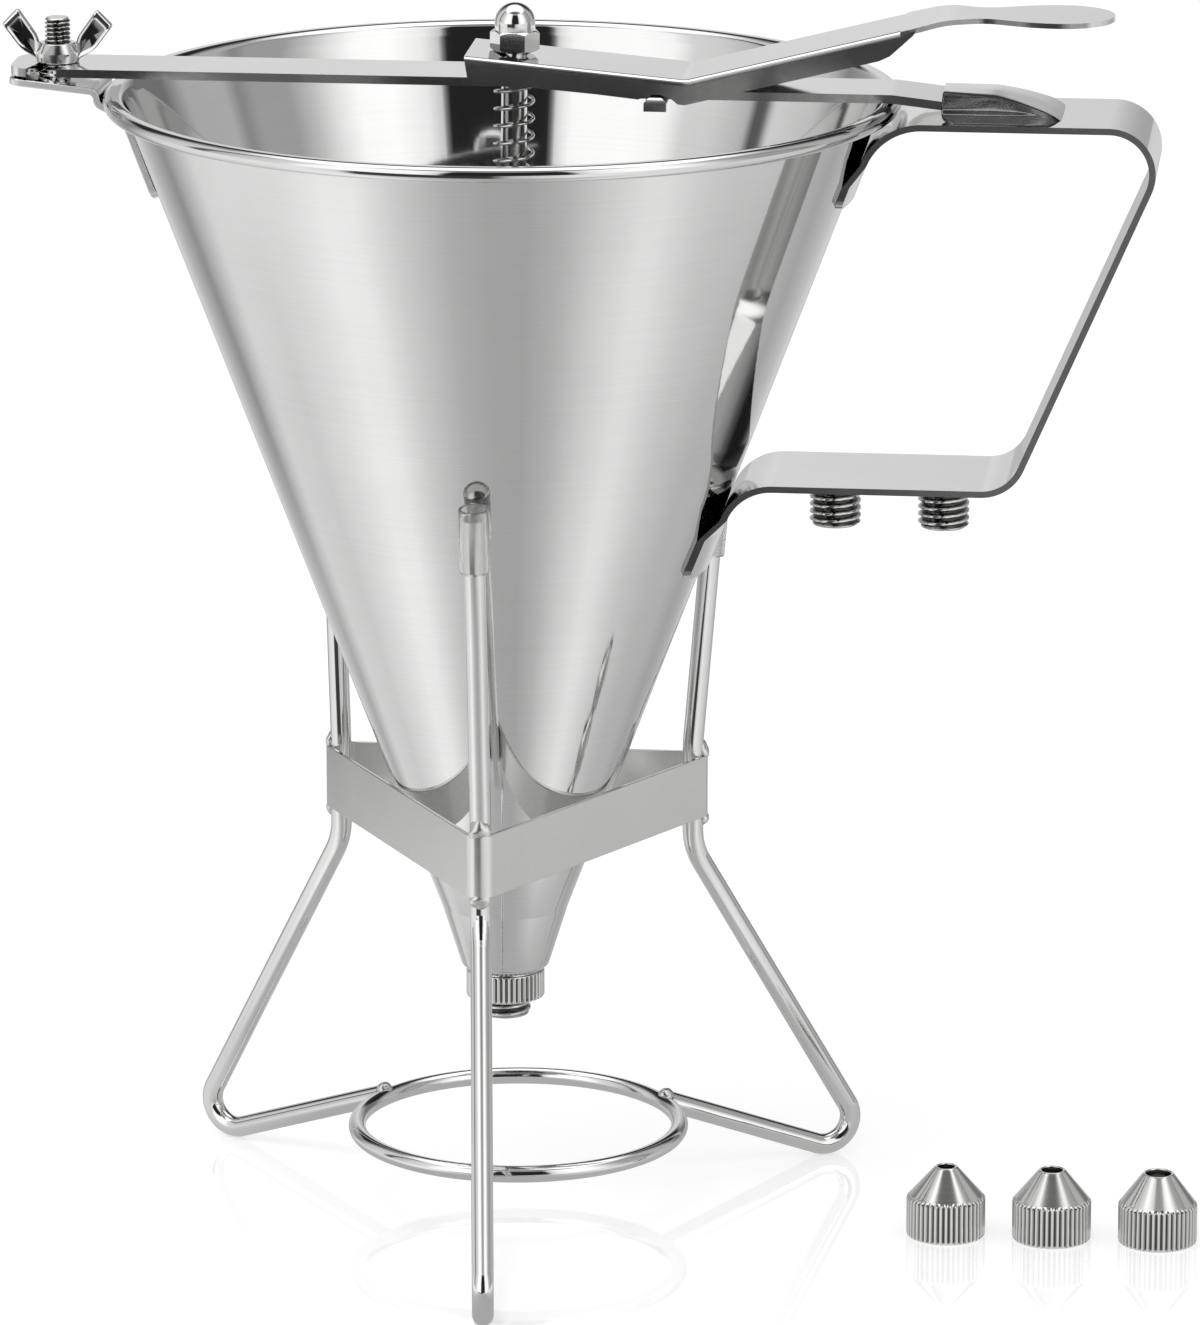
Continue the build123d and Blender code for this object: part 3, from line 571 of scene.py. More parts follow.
class Graph:
    """The nodes of one material or world."""

    def __init__(self, tree):
        self.tree = tree
        tree.nodes.clear()

    def node(self, kind, sockets=None, output=0, stops=None, **settings):
        """Any node: its settings and stops first, then the values or links of its sockets."""
        made = self.tree.nodes.new(kind)
        for name, value in settings.items():
            setattr(made, name, value)
        if stops:
            ramp = made.color_ramp
            while len(ramp.elements) < len(stops):
                ramp.elements.new(0.5)
            for element, (place, tone) in zip(ramp.elements, stops):
                element.position = place
                element.color = (tone, tone, tone, 1)
        for key, value in (sockets or {}).items():
            if isinstance(value, Signal):
                self.tree.links.new(value.socket, made.inputs[key])
            else:
                made.inputs[key].default_value = value
        return Signal(self, made.outputs[output]) if made.outputs else None

    def maths(self, operation, first, second):
        """One Math node."""
        return self.node("ShaderNodeMath", {0: first, 1: second}, operation=operation)

    def place(self):
        """Place on the object, in metres."""
        return self.node("ShaderNodeTexCoord", output="Object")

    def stretched(self, place, scale):
        """A place multiplied by a scale for each axis."""
        return self.node(
            "ShaderNodeVectorMath", {0: place, 1: scale}, operation="MULTIPLY"
        )

    def noise(self, place, scale, detail=2.0, roughness=0.5):
        """Smooth noise from 0 to 1."""
        sockets = {"Vector": place, "Scale": scale, "Detail": detail, "Roughness": roughness}
        return self.node("ShaderNodeTexNoise", sockets)

    def tinted(self, factor, dark, light):
        """A colour between two, by a factor."""
        sockets = {0: factor, 6: (*dark, 1), 7: (*light, 1)}
        return self.node("ShaderNodeMix", sockets, output=2, data_type="RGBA")

    def darkened(self, colour, factor):
        """A colour map turned darker by a factor."""
        veil = self.tinted(factor, (1, 1, 1), (0.06, 0.06, 0.06))
        return self.node(
            "ShaderNodeMix", {0: 1.0, 6: colour, 7: veil},
            output=2, data_type="RGBA", blend_type="MULTIPLY",
        )

    def split(self, place):
        """The three numbers of a place."""
        made = self.node("ShaderNodeSeparateXYZ", {0: place})
        outputs = made.socket.node.outputs
        return [Signal(self, outputs[k]) for k in range(3)]

    def between(self, value, low, high):
        """0 up to the low limit, 1 from the high limit, and straight between."""
        return ((value - low) / (high - low)).clipped()

    def bump(self, height, distance):
        """The normal over small lumps of a height from 0 to 1, times a distance in metres."""
        sockets = {"Strength": 0.6, "Distance": distance, "Height": height}
        return self.node("ShaderNodeBump", sockets)

    def surface(self, sockets):
        """The main shader on the material's output."""
        shader = self.node("ShaderNodeBsdfPrincipled", sockets)
        self.node("ShaderNodeOutputMaterial", {"Surface": shader})


def new_material(name):
    """A material and its empty graph."""
    made = bpy.data.materials.new(name)
    made.use_nodes = True
    return made, Graph(made.node_tree)


def shade(colour, factor):
    """A colour made lighter or darker."""
    return tuple(min(1.0, channel * factor) for channel in colour)


def metal(name, colour, roughness, spread, lines, bump, specks=0.0, anisotropy=0.0,
          grooves=0.0, sides=None):
    """Steel with fine tool lines.

    lines is the scale of the line noise along each axis, spread the range of the roughness,
    bump the depth of the lines in metres, specks the share of small darker pits and grooves
    how much shade is painted where the groove attribute marks a point as deep: the bottom of
    a thread or a knurl, a recess or a bore. sides paints shade on the faces that face along Y
    and makes them rougher: the share of Y in the normal where they begin, how much painted
    shade they get and how much rougher they are.
    """
    made, graph = new_material(name)
    place = graph.place()
    fine = graph.noise(graph.stretched(place, lines), 1.0, 3.0, 0.6)
    smear = graph.noise(place, SMEAR, 2.0)
    tone = (fine * 0.6 + smear * 0.6 - 0.1).clipped()
    if specks:
        pits = graph.noise(place, PITS, 1.0)
        pits = ((pits - 0.70) * 12.0).clipped()
        tone = (tone - pits * specks).clipped()
    colour_map = graph.tinted(tone, shade(colour, 0.90), shade(colour, 1.05))
    rough_map = roughness + (fine - 0.5) * spread + (smear - 0.5) * (spread * 0.8)
    # Painted shade: the deeper a point lies in a thread, knurl, recess or bore, the darker its
    # colour.
    if grooves:
        groove_shade = graph.node("ShaderNodeAttribute", output=2, attribute_name="groove")
        colour_map = graph.darkened(colour_map, groove_shade * grooves)
    # Painted shade: faces that face along Y are darkened, with a mottle, and made rougher too.
    if sides:
        begin, side_shade, rougher = sides
        y = graph.split(graph.node("ShaderNodeTexCoord", output="Normal"))[1]
        side = ((graph.maths("ABSOLUTE", y, 0) - begin) * 12.0).clipped()
        mottle = graph.noise(place, MOTTLE, 3.0, 0.65)
        side = (side * (0.75 + mottle * 0.5)).clipped()
        colour_map = graph.darkened(colour_map, side * side_shade)
        rough_map = rough_map + side * rougher
    sockets = {
        "Base Color": colour_map,
        "Metallic": 1.0,
        "Roughness": rough_map.clipped(),
        "Normal": graph.bump(fine, bump),
    }
    if anisotropy:
        sockets["Anisotropic"] = anisotropy
        sockets["Anisotropic Rotation"] = 0.25
    graph.surface(sockets)
    return made


def soft_tube(colour):
    """Clear soft plastic, a little clouded, with faint drawing marks."""
    made, graph = new_material("clear soft tube")
    cloud = graph.noise(graph.stretched(graph.place(), (900, 900, 140)), 1.0, 2.0)
    sockets = {
        "Base Color": graph.tinted(cloud, shade(colour, 0.92), shade(colour, 1.08)),
        "Roughness": (0.05 + cloud * 0.12).clipped(),
        "Transmission Weight": 0.9,
        "IOR": 1.42,
        "Normal": graph.bump(cloud, 8e-5),
    }
    graph.surface(sockets)
    return made


FINISHES = {}


def make_finishes(finish):
    """The materials, made once and shared by the operators."""
    steel, satin = tuple(finish.steel), tuple(finish.satin)
    rolled = (160, 1400, 160)
    FINISHES["cone"] = metal(
        "cone brushed steel", tuple(finish.cone), 0.055, 0.035, (14, 14, 2600), 1e-6,
        anisotropy=0.3,
    )
    # sides paint shade on the faces of the strips, the wing hub and the hood that face along Y; the
    # bracket's are only rougher
    FINISHES["strip"] = metal(
        "polished strip", steel, 0.075, 0.06, rolled, 1e-6, sides=(0.80, 0.62, 0.16)
    )
    FINISHES["hood"] = metal(
        "pressed hood", steel, 0.09, 0.06, rolled, 1e-6, sides=(0.20, 0.80, 0.10)
    )
    FINISHES["bracket"] = metal(
        "bracket strip", steel, 0.09, 0.06, rolled, 1e-6, sides=(0.80, 0.0, 0.50)
    )
    # grooves paints shade in the wings' recesses, the knurls, the orifices and the threads' grooves
    FINISHES["cast"] = metal(
        "cast wing", steel, 0.10, 0.08, (300, 300, 300), 2e-6, specks=0.3, grooves=0.75
    )
    FINISHES["wire"] = metal("polished wire", steel, 0.07, 0.05, (90, 90, 90), 1e-6)
    FINISHES["turned"] = metal(
        "turned satin steel", shade(satin, 1.14), 0.12, 0.10, (60, 60, 5200), 2e-6,
        specks=0.5, grooves=0.95,
    )
    FINISHES["thread"] = metal(
        "cut thread", satin, 0.11, 0.08, (90, 90, 900), 2e-6, grooves=0.97
    )
    FINISHES["band"] = metal("satin band", shade(satin, 1.1), 0.22, 0.12, (500, 500, 3000), 2e-6)
    FINISHES["weld"] = metal("weld bead", satin, 0.3, 0.2, (900, 900, 900), 8e-6, specks=0.5)
    FINISHES["tube"] = soft_tube(tuple(finish.tube))


# ---------------------------------------------------------------- funnel
def funnel_profile():
    """Loop of radius and height: under the floor, up the wall, round the roll, down inside."""
    tuck = 1.35                        # of the wall's top under the roll's middle
    inside = RIM_RADIUS - RIM_OVERHANG - WALL
    foot = FOOT[0] - 1.5
    around = np.radians(np.linspace(90, -150, 28))
    roll = ROLL_RADIUS * np.stack([np.cos(around), np.sin(around)], -1)
    roll = roll + (ROLL_CENTRE, ROLL_HEIGHT)
    outside = rounded(
        [
            (SHANK_HOLE, CONE_FLOOR), (foot, CONE_FLOOR), FOOT, SHOULDER,
            (cone_radius(ROLL_HEIGHT - tuck), ROLL_HEIGHT - tuck),
        ],
        [0.8, 1.2, 6.0],
    )
    inner = rounded(
        [
            roll[0], (inside + 0.8, RIM_TOP), (inside - WALL * CONE_SLOPE * 2, RIM_TOP - 3.2),
            (SHOULDER[0] - WALL, SHOULDER[1]), (FOOT[0] - WALL, FOOT[1]),
            (foot - WALL / 2, CONE_FLOOR + WALL), (SHANK_HOLE, CONE_FLOOR + WALL),
        ],
        [2.2, 0, 6.0, 1.2, 0.8],
    )
    return np.vstack([outside, roll[::-1], inner[1:]])


class DISPENSER_OT_funnel(Operator):
    """Turn the cone with its rolled rim"""

    bl_idname = "dispenser.funnel"
    bl_label = "Funnel"

    def execute(self, context):
        cone = lathe("cone_wall", braced(funnel_profile()), steps=300, lids=(), crease=50)
        fit(cone, "funnel", "cone", FINISHES["cone"], "funnel_cone")
        return {"FINISHED"}


class DISPENSER_OT_outlet(Operator):
    """Turn the threaded outlet and the knurled collar that clamps it"""

    bl_idname = "dispenser.outlet"
    bl_label = "Outlet"

    def execute(self, context):
        sizes = context.scene.dispenser_sizes
        low, high = upright("outlet_spout")[2:]
        collar_low, collar_high = upright("knurled_collar")[2:]
        flange = CONE_FLOOR + WALL
        profile = rounded(
            [
                (OUTLET_BORE, low + 2), (OUTLET_BORE, low), (THREAD_RADIUS - 0.6, low),
                (THREAD_RADIUS, low + 0.6), (THREAD_RADIUS, collar_low),
                (SHANK_RADIUS, collar_low), (SHANK_RADIUS, flange), (FLANGE_RADIUS, flange),
                (FLANGE_RADIUS, high), (OUTLET_BORE + SEAT_DEPTH, high),
                (OUTLET_BORE, high - SEAT_DEPTH), (OUTLET_BORE, low + 2),
            ],
            [0.2, 0.2, 0.1, 0, 0, 0, 0.2, 0.4, 0.1, 0.1],
            steps=4,
        )[:-1]
        grooves = thread(
            sizes.nozzle_pitch / MM, 0.75, low + 0.1, collar_low + 0.6, beyond=5.0
        )
        spout = lathe(
            "outlet_thread", divided(profile, 0.14), steps=72, relief=grooves, lids=()
        )
        fit(spout, "funnel", "turned", FINISHES["thread"], "outlet_spout")

        radius = cad_box("knurled_collar")[1][0]
        shape = ring_profile(SHANK_HOLE, radius, collar_low, collar_high, [0.1, 0.5, 0.5, 0.1])
        collar = knurled(
            "collar", divided(np.vstack([shape, shape[:1]]), 0.6)[:-1], (0, 0, 0),
            (collar_low + 0.2, collar_high - 0.2), 8, sizes, crease=60,
        )
        fit(collar, "funnel", "turned", FINISHES["turned"], "knurled_collar")
        return {"FINISHED"}


class DISPENSER_OT_strips(Operator):
    """Soften the edges of the bent strips: handle, bracket, crossbar and lever"""

    bl_idname = "dispenser.strips"
    bl_label = "Strips"

    def execute(self, context):
        softness = context.scene.dispenser_sizes.edge_softness / MM
        # body, finish, share of the softness, and the trim of an end
        strips = {
            "handle_strip": ("funnel", "strip", 1.6, None),
            "bar_bracket": ("funnel", "bracket", 3.4, None),
            "crossbar": ("funnel", "strip", 3.2, None),
            "lever": ("lever", "strip", 1.2, (-6.5, (2.8, 0.0, -0.25))),
        }
        for node, (body, finish, share, trim) in strips.items():
            soft = softened(node, softness * share * MM, trim=trim)
            fit(soft, body, "strip", FINISHES[finish], node)
        return {"FINISHED"}


class DISPENSER_OT_socket(Operator):
    """Press the hood on the handle that takes the crossbar's tongue"""

    bl_idname = "dispenser.socket"
    bl_label = "Socket"

    def execute(self, context):
        # along X: half width and height at the foot, waist, shoulder, crease and crown. The
        # sections between are straight mixes of these, mirrored, spread evenly and smoothed
        stations = np.array([102.3, 114.6, 119.6, 123.0, 126.2, 128.2, 130.0])
        shape = np.array(
            [
                [(16.0, 0.1), (12.4, 1.4), (11.8, 2.6), (5.9, 5.5), (0, 5.60)],
                [(16.0, 0.1), (12.3, 1.4), (11.6, 2.5), (8.0, 4.95), (0, 5.60)],
                [(16.0, 0.1), (12.1, 1.4), (11.5, 2.3), (9.0, 3.9), (0, 4.50)],
                [(15.8, 0.1), (12.0, 1.4), (11.4, 2.0), (9.5, 3.0), (0, 3.45)],
                [(14.6, 0.0), (11.8, 1.1), (11.2, 1.4), (9.9, 2.0), (0, 2.20)],
                [(13.2, -0.2), (11.4, 0.6), (10.9, 0.8), (10.0, 1.1), (0, 1.20)],
                [(12.0, -0.6), (10.8, -0.4), (10.4, -0.3), (9.6, -0.2), (0, -0.10)],
            ]
        )
        x = np.linspace(stations[0], stations[-1], 64)
        sections = np.stack(
            [
                [np.interp(x, stations, shape[:, k, c]) for c in range(2)]
                for k in range(shape.shape[1])
            ]
        ).transpose(2, 0, 1)
        other = sections[:, -2::-1] * (-1, 1)
        sections = np.concatenate([sections, other], axis=1)
        share = np.linspace(0, sections.shape[1] - 1, 97)
        low = np.minimum(share.astype(int), sections.shape[1] - 2)
        mix = (share - low)[None, :, None]
        across = sections[:, low] * (1 - mix) + sections[:, low + 1] * mix
        # the feet get shorter along X the farther they spread
        foot = np.clip(np.abs(across[..., 0]) - 11.5, 0, None) / 4.5
        middle = (stations[0] + stations[-1]) / 2
        reach = middle + (x[:, None] - middle) * (1 - 0.2 * np.clip(foot, 0, 1) ** 2)
        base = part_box("handle_strip")[1][2] / MM
        grid = np.stack([reach, across[..., 0], base + across[..., 1]], -1)
        for _ in range(5):
            grid[:, 1:-1] = (grid[:, :-2] + 2 * grid[:, 1:-1] + grid[:, 2:]) / 4
            grid[1:-1] = (grid[:-2] + 2 * grid[1:-1] + grid[2:]) / 4
        hood = skin("pressed_hood", grid, crease=60)
        wall = hood.modifiers.new("wall", "SOLIDIFY")
        wall.thickness = 0.7 * MM
        wall.offset = -1.0
        fit(hood, "funnel", "strip", FINISHES["hood"], "bar_socket")
        return {"FINISHED"}


class DISPENSER_OT_studs(Operator):
    """Turn the storage studs under the handle and the wing nut's stud"""

    bl_idname = "dispenser.studs"
    bl_label = "Studs"

    def execute(self, context):
        sizes = context.scene.dispenser_sizes
        for node in ("storage_stud_inner", "storage_stud_outer"):
            x, y, low, high = upright(node)
            profile = rounded(
                [
                    (0.4, low), (THREAD_RADIUS - 0.9, low), (THREAD_RADIUS, low + 0.8),
                    (THREAD_RADIUS, high), (0.4, high),
                ],
                [0.3, 0.3, 0.1],
                steps=4,
            )
            grooves = thread(sizes.nozzle_pitch / MM, 0.85, low + 0.1, high - 0.6, beyond=4.6)
            stud = lathe(
                node + "_thread", divided(profile, 0.13), (x, y, 0), steps=72, relief=grooves
            )
            fit(stud, "funnel", "turned", FINISHES["thread"], node)

        x, y, low, high = upright("bar_stud")
        flange_low, flange_high, flange_radius = 270.6, BAR_UNDERSIDE - 0.1, 4.5
        profile = rounded(
            [
                (0.3, low), (ROD_RADIUS, low), (ROD_RADIUS, flange_low),
                (flange_radius, flange_low), (flange_radius, flange_high),
                (ROD_RADIUS, flange_high), (ROD_RADIUS, high - 0.5), (ROD_RADIUS - 0.5, high),
                (0.3, high),
            ],
            [0.1, 0, 0.15, 0.15, 0, 0.1, 0.1],
            steps=4,
        )
        grooves = thread(sizes.stud_pitch / MM, 0.5, flange_high + 0.2, high - 0.1, beyond=2.4)

        def above_flange(radius, height, angle):
            """The grooves, left off the flange."""
            return grooves(radius, height, angle) * (radius < 3.2)

        stud = lathe(
            "bar_stud_thread", divided(profile, 0.09), (x, y, 0), steps=56, relief=above_flange
        )
        fit(stud, "funnel", "turned", FINISHES["thread"], "bar_stud")
        return {"FINISHED"}


# ---------------------------------------------------------------- valve
def nut_profile():
    """Heights of the domed nut's rows, and a round limit on its six flats at each.

    Above the flats the limit is a dome: the root of its radius squared less its height squared.
    """
    dome, dome_base = 4.7, 6.5
    heights = np.concatenate(
        [
            np.linspace(0, 0.6, 6),
            np.linspace(0.9, 3.7, 5),
            np.linspace(3.9, NUT_FLATS_TOP, 9),
            np.linspace(4.85, dome_base, 4),
            dome_base + dome * np.sin(np.radians(np.linspace(6, 89, 16))),
        ]
    )
    limit = np.interp(heights, [0, 0.6, 3.9, NUT_FLATS_TOP], [4.85, 6.15, 6.15, 4.9])
    rise = np.clip(heights - dome_base, 0, None)
    cap = np.sqrt(np.clip(dome**2 - rise**2, 0.0004, None))
    return heights, np.where(heights > NUT_FLATS_TOP, cap, limit)


class DISPENSER_OT_valve(Operator):
    """Turn the rod, the ball-ended plug and the spring's collar, and shape the domed nut"""

    bl_idname = "dispenser.valve"
    bl_label = "Valve"

    def execute(self, context):
        # the rod ends inside the plug and inside the nut's dome
        rod_low = BALL_CENTRE - 2.4
        rod_high = NUT_BOTTOM + 8.0
        rod = rounded(
            [(0.2, rod_low), (ROD_RADIUS, rod_low), (ROD_RADIUS, rod_high), (0.2, rod_high)],
            [0.4, 0.4],
        ) - (0, BALL_CENTRE)
        made = lathe("rod", braced(rod), ROD_BASE, ROD_AXIS, steps=48)
        fit(made, "valve", "wire", FINISHES["wire"], "valve_rod")

        brow = math.asin(PLUG_RADIUS / BALL_RADIUS)
        below = np.linspace(0.02, brow, 14)
        ball = BALL_RADIUS * np.stack([np.sin(below), -np.cos(below)], -1)
        body = rounded(
            [ball[-1], (PLUG_RADIUS, 1.5), (ROD_RADIUS + 1.2, 4.0), (ROD_RADIUS, 4.0)], [0.6, 0.4]
        )
        plug = lathe("plug", np.vstack([ball, body[1:]]), ROD_BASE, ROD_AXIS, steps=64)
        fit(plug, "valve", "turned", FINISHES["turned"], "valve_plug")

        seat = ring_profile(ROD_HOLE, 5.2, -2, 0, [0.1, 0.3, 0.3, 0.1], steps=4)
        seat = seat + (0, SPRING_SEAT - BALL_CENTRE)
        collar = lathe("spring_seat", seat, ROD_BASE, ROD_AXIS, steps=48, lids=())
        fit(collar, "valve", "turned", FINISHES["turned"], "spring_collar")

        heights, limit = nut_profile()
        flats = NUT_FLATS / 2

        def six_flats(radius, height, angle):
            """The lesser of the round limit and flats / cos(angle from the nearest flat)."""
            sector = np.mod(angle, math.pi / 3) - math.pi / 6
            on_hexagon = height <= NUT_BOTTOM - BALL_CENTRE + NUT_FLATS_TOP + 0.01
            return np.where(on_hexagon, np.minimum(0, flats / np.cos(sector) - radius), 0)

        profile = np.stack([limit, heights + NUT_BOTTOM - BALL_CENTRE], -1)
        nut = lathe(
            "domed_nut", profile, ROD_BASE, ROD_AXIS, steps=144, relief=six_flats, crease=18
        )
        fit(nut, "valve", "turned", FINISHES["wire"], "acorn_nut")
        return {"FINISHED"}


class DISPENSER_OT_spring(Operator):
    """Wind the spring"""

    bl_idname = "dispenser.spring"
    bl_label = "Spring"

    def execute(self, context):
        # a helix of this radius, whose angle and height both grow evenly
        wire, pitch, coil, gap = 0.4, 4.1, 4.45, 0.15
        low = SPRING_SEAT + wire + gap
        high = BAR_UNDERSIDE - wire - gap
        turns = (high - low) / pitch
        t = np.linspace(0, 1, 300)
        angle = 2 * math.pi * turns * t
        first, second, axis = axes_of(ROD_AXIS)
        height = (low - BALL_CENTRE + (high - low) * t)[:, None]
        path = (
            np.array(ROD_BASE)
            + height * axis
            + coil * (np.cos(angle)[:, None] * first + np.sin(angle)[:, None] * second)
        )
        spring = along("coil_spring", path, ring_section(wire, 12), axis)
        fit(spring, "funnel", "wire", FINISHES["wire"], "spring")
        lift = next(joint for joint in frame["joints"] if joint["name"] == "valve_lift")
        travel = lift["range_m"][1]
        anchor = path[-1] * MM
        length = (high - low) * MM
        1 - travel / length
        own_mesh(spring)
        return {"FINISHED"}


# ---------------------------------------------------------------- wing nut
def plate(name, outline, thickness, recess, rim, base, side):
    """A flat piece with rounded edges and a shallow recess in both faces.

    Each row is the outline drawn in towards its middle by an inset, at a distance from the
    middle plane: middle of one face, its recess, its rounded rim, the edge, and the same
    behind. The recess is noted as a groove, which the material darkens as painted shade.
    """
    half = thickness / 2
    middle = outline.mean(axis=0)
    size = np.linalg.norm(outline - middle, axis=1).min()
    rows = [
        (0.98, half - recess),
        (rim / size + 0.06, half - recess),
        (rim / size - 0.02, half - 0.15),
        (0.10, half),
        (0.04, half - 0.2),
        (0.0, half - 0.7),
    ]
    rows += [(inset, -depth) for inset, depth in rows[::-1]]
    insets = np.array([r[0] for r in rows])[:, None, None]
    depths = np.array([r[1] for r in rows])[:, None, None]
    flat = outline[None] * (1 - insets) + middle * insets
    first, second, normal = side
    grid = np.array(base, float) + flat[..., :1] * first + flat[..., 1:] * second + depths * normal
    made = skin(name, grid, (False, True), (0, -1), 50)
    sunk = np.abs(depths[:, 0]) < half - recess + 0.01
    sunk = sunk & (insets[:, 0] > 0.02)
    note_grooves(made, np.repeat(sunk, outline.shape[0], axis=1))
    return made


class DISPENSER_OT_wing_nut(Operator):
    """Shape the wing nut's hub and its two recessed wings"""

    bl_idname = "dispenser.wing_nut"
    bl_label = "Wing nut"

    def execute(self, context):
        base = upright("wing_nut")[:3]
        foot, neck, height = 5.05, 4.15, 4.6
        hub = closed_round(
            [(ROD_HOLE, 0), (foot, 0), (foot, 2.4), (neck, height), (ROD_HOLE, height)],
            [0.1, 0.5, 0.5, 0.35, 0.2],
            steps=5,
        )
        made = lathe("wing_hub", hub, base, steps=72, lids=())
        fit(made, "wing_nut", "turned", FINISHES["strip"], "wing_nut")
        wing = [(4.2, 0.35), (8.5, 2.7), (13.05, 8.7), (9.3, 12.5), (4.9, 6.2), (4.2, 4.2)]
        outline = closed_round(wing, [0.3, 6.0, 0.7, 0.7, 4.0, 0.3], steps=6)
        for name, turn in (("wing_right", 1.0), ("wing_left", -1.0)):
            axes = np.array([(turn, 0.0, 0.0), (0.0, 0.0, 1.0), (0.0, 1.0, 0.0)])
            made = plate(name, outline, 2.2, 0.45, 0.75, base, axes)
            fit(made, "wing_nut", "turned", FINISHES["cast"])
        return {"FINISHED"}


# ---------------------------------------------------------------- stand
def leg_top(leg):
    """Radius and height of the top of a sleeve, and its lean, in the leg's own plane.

    There the sleeve lies on the cone: its radius is the cone's, the clearance and its own.
    """
    radius = cone_radius(leg.top) + CRADLE_CLEARANCE + SLEEVE_RADIUS
    return radius, leg.top, math.atan2(radius - LEG_CIRCLE, leg.top - LEG_BEND)


def on_plane(azimuth, reach, height, through=(0.0, 0.0)):
    """A point in an upright plane: reach along an azimuth from a point, at a height."""
    a = math.radians(azimuth)
    return np.array(
        (through[0] + reach * math.cos(a), through[1] + reach * math.sin(a), height)
    )


def foot_line(leg):
    """The lower plane of a leg: its azimuth, where it starts, and the foot and ring on it.

    The ring is where the run from the knee meets a circle: with s the share of the run in the
    way from the circle's centre c to the knee, at sqrt(s^2 - |c|^2 + radius^2) - s.
    """
    knee = on_plane(leg.azimuth, LEG_CIRCLE, KNEE)[:2]
    foot = on_plane(leg.toe, LEG_CIRCLE + leg.past_band, 0)[:2]
    run = foot - knee
    reach = np.linalg.norm(run)
    outwards = run / reach
    from_ring = knee - RING_CENTRE
    slide = from_ring @ outwards
    joint = RING_RADIUS + RING_WIRE - 0.3
    ring = math.sqrt(slide**2 - from_ring @ from_ring + joint**2) - slide
    return math.degrees(math.atan2(run[1], run[0])), knee, reach, ring


def touch_angle(centre, point, radius, side):
    """Angle of the normal where a line from a point touches a circle."""
    dx, dz = point[0] - centre[0], point[1] - centre[1]
    return math.atan2(dz, dx) + side * math.acos(radius / math.hypot(dx, dz))


def leg_path(leg):
    """Centre line of a leg: wire end, bend at the band, knee, foot and joint with the ring.

    The foot's corner is where the two lines that touch its bend cross: along the sum of their
    normals from the bend's centre, by radius / (1 + cos(turn between them)).
    """
    radius, top, lean = leg_top(leg)
    direction, knee, reach, ring = foot_line(leg)
    centre = (reach - FOOT_BEND, WIRE_RADIUS + FOOT_BEND)
    outer = touch_angle(centre, (0, KNEE), FOOT_BEND, -1)
    inner = touch_angle(centre, (ring, RING_HEIGHT), FOOT_BEND, 1)
    span = FOOT_BEND / (1 + math.cos(outer - inner))
    corner = (
        centre[0] + span * (math.cos(outer) + math.cos(inner)),
        centre[1] + span * (math.sin(outer) + math.sin(inner)),
    )
    end = radius - SLEEVE_OVERLAP * math.sin(lean)
    points = [
        on_plane(leg.azimuth, end, top - SLEEVE_OVERLAP * math.cos(lean)),
        on_plane(leg.azimuth, LEG_CIRCLE, LEG_BEND),
        on_plane(leg.azimuth, LEG_CIRCLE, KNEE),
        on_plane(direction, *corner, knee),
        on_plane(direction, ring, RING_HEIGHT, knee),
    ]
    return rounded(points, [25.0, 16.0, FOOT_BEND], steps=14)


class DISPENSER_OT_stand(Operator):
    """Bend the legs, close the base ring, soften the band and lay the weld beads"""

    bl_idname = "dispenser.stand"
    bl_label = "Stand"

    def bead(self, name, centre, radii, azimuth=0.0):
        """A lumpy ellipsoid: radii times (sin u cos v, sin u sin v, cos u), rippled by 7%."""
        first, second, axis = axes_of((0, 0, 1))
        a = math.radians(azimuth)
        first, second = (
            math.cos(a) * first + math.sin(a) * second,
            math.cos(a) * second - math.sin(a) * first,
        )
        u = np.linspace(0.06, math.pi - 0.06, 18)[:, None]
        v = np.linspace(0, 2 * math.pi, 28, endpoint=False)[None]
        ripple = 1 + 0.07 * np.sin(3 * v + 2.2 * u) * np.sin(u) + 0.05 * np.sin(5 * u + v)
        ball = np.stack([np.sin(u) * np.cos(v), np.sin(u) * np.sin(v), np.cos(u) + 0 * v], -1)
        grid = centre + (ball * ripple[..., None] * radii) @ np.array([first, second, axis])
        made = skin(name, grid, (False, True), (0, -1), 60)
        fit(made, "stand", "wire", FINISHES["weld"])

    def execute(self, context):
        sizes = context.scene.dispenser_sizes
        size = sizes.bead_size / MM
        band_edges = (("top", BAND_TOP + 0.7, 1.5), ("bottom", BAND_TOP - BAND_HEIGHT - 0.5, 1.2))
        for name, leg in LEGS.items():
            direction, knee, _, ring = foot_line(leg)
            a = math.radians(leg.azimuth + 90)
            side = np.array((math.cos(a), math.sin(a), 0.0))
            path = braced(leg_path(leg), 0.4)
            wire = along("wire_leg_" + name, path, ring_section(WIRE_RADIUS), side)
            fit(wire, "stand", "wire", FINISHES["wire"], "leg_" + name)
            joint = on_plane(direction, ring - 0.6, RING_HEIGHT + 1.7, knee)
            self.bead("bead_ring_" + name, joint, (size, size * 1.3, size * 0.8))
            for edge, height, swell in band_edges:
                corner = on_plane(leg.azimuth, LEG_CIRCLE + WIRE_RADIUS * 0.8, height)
                radii = (size * 0.9, size * 1.35, size * swell)
                self.bead("bead_" + edge + "_" + name, corner, radii, leg.azimuth)
        loop = ring_section(RING_WIRE, 30) + (RING_RADIUS, RING_HEIGHT)
        ring = lathe("wire_ring", loop, (*RING_CENTRE, 0), steps=200, lids=())
        fit(ring, "stand", "wire", FINISHES["wire"], "base_ring")
        band = softened("cradle_band", sizes.edge_softness)
        fit(band, "stand", "strip", FINISHES["band"], "cradle_band")
        return {"FINISHED"}


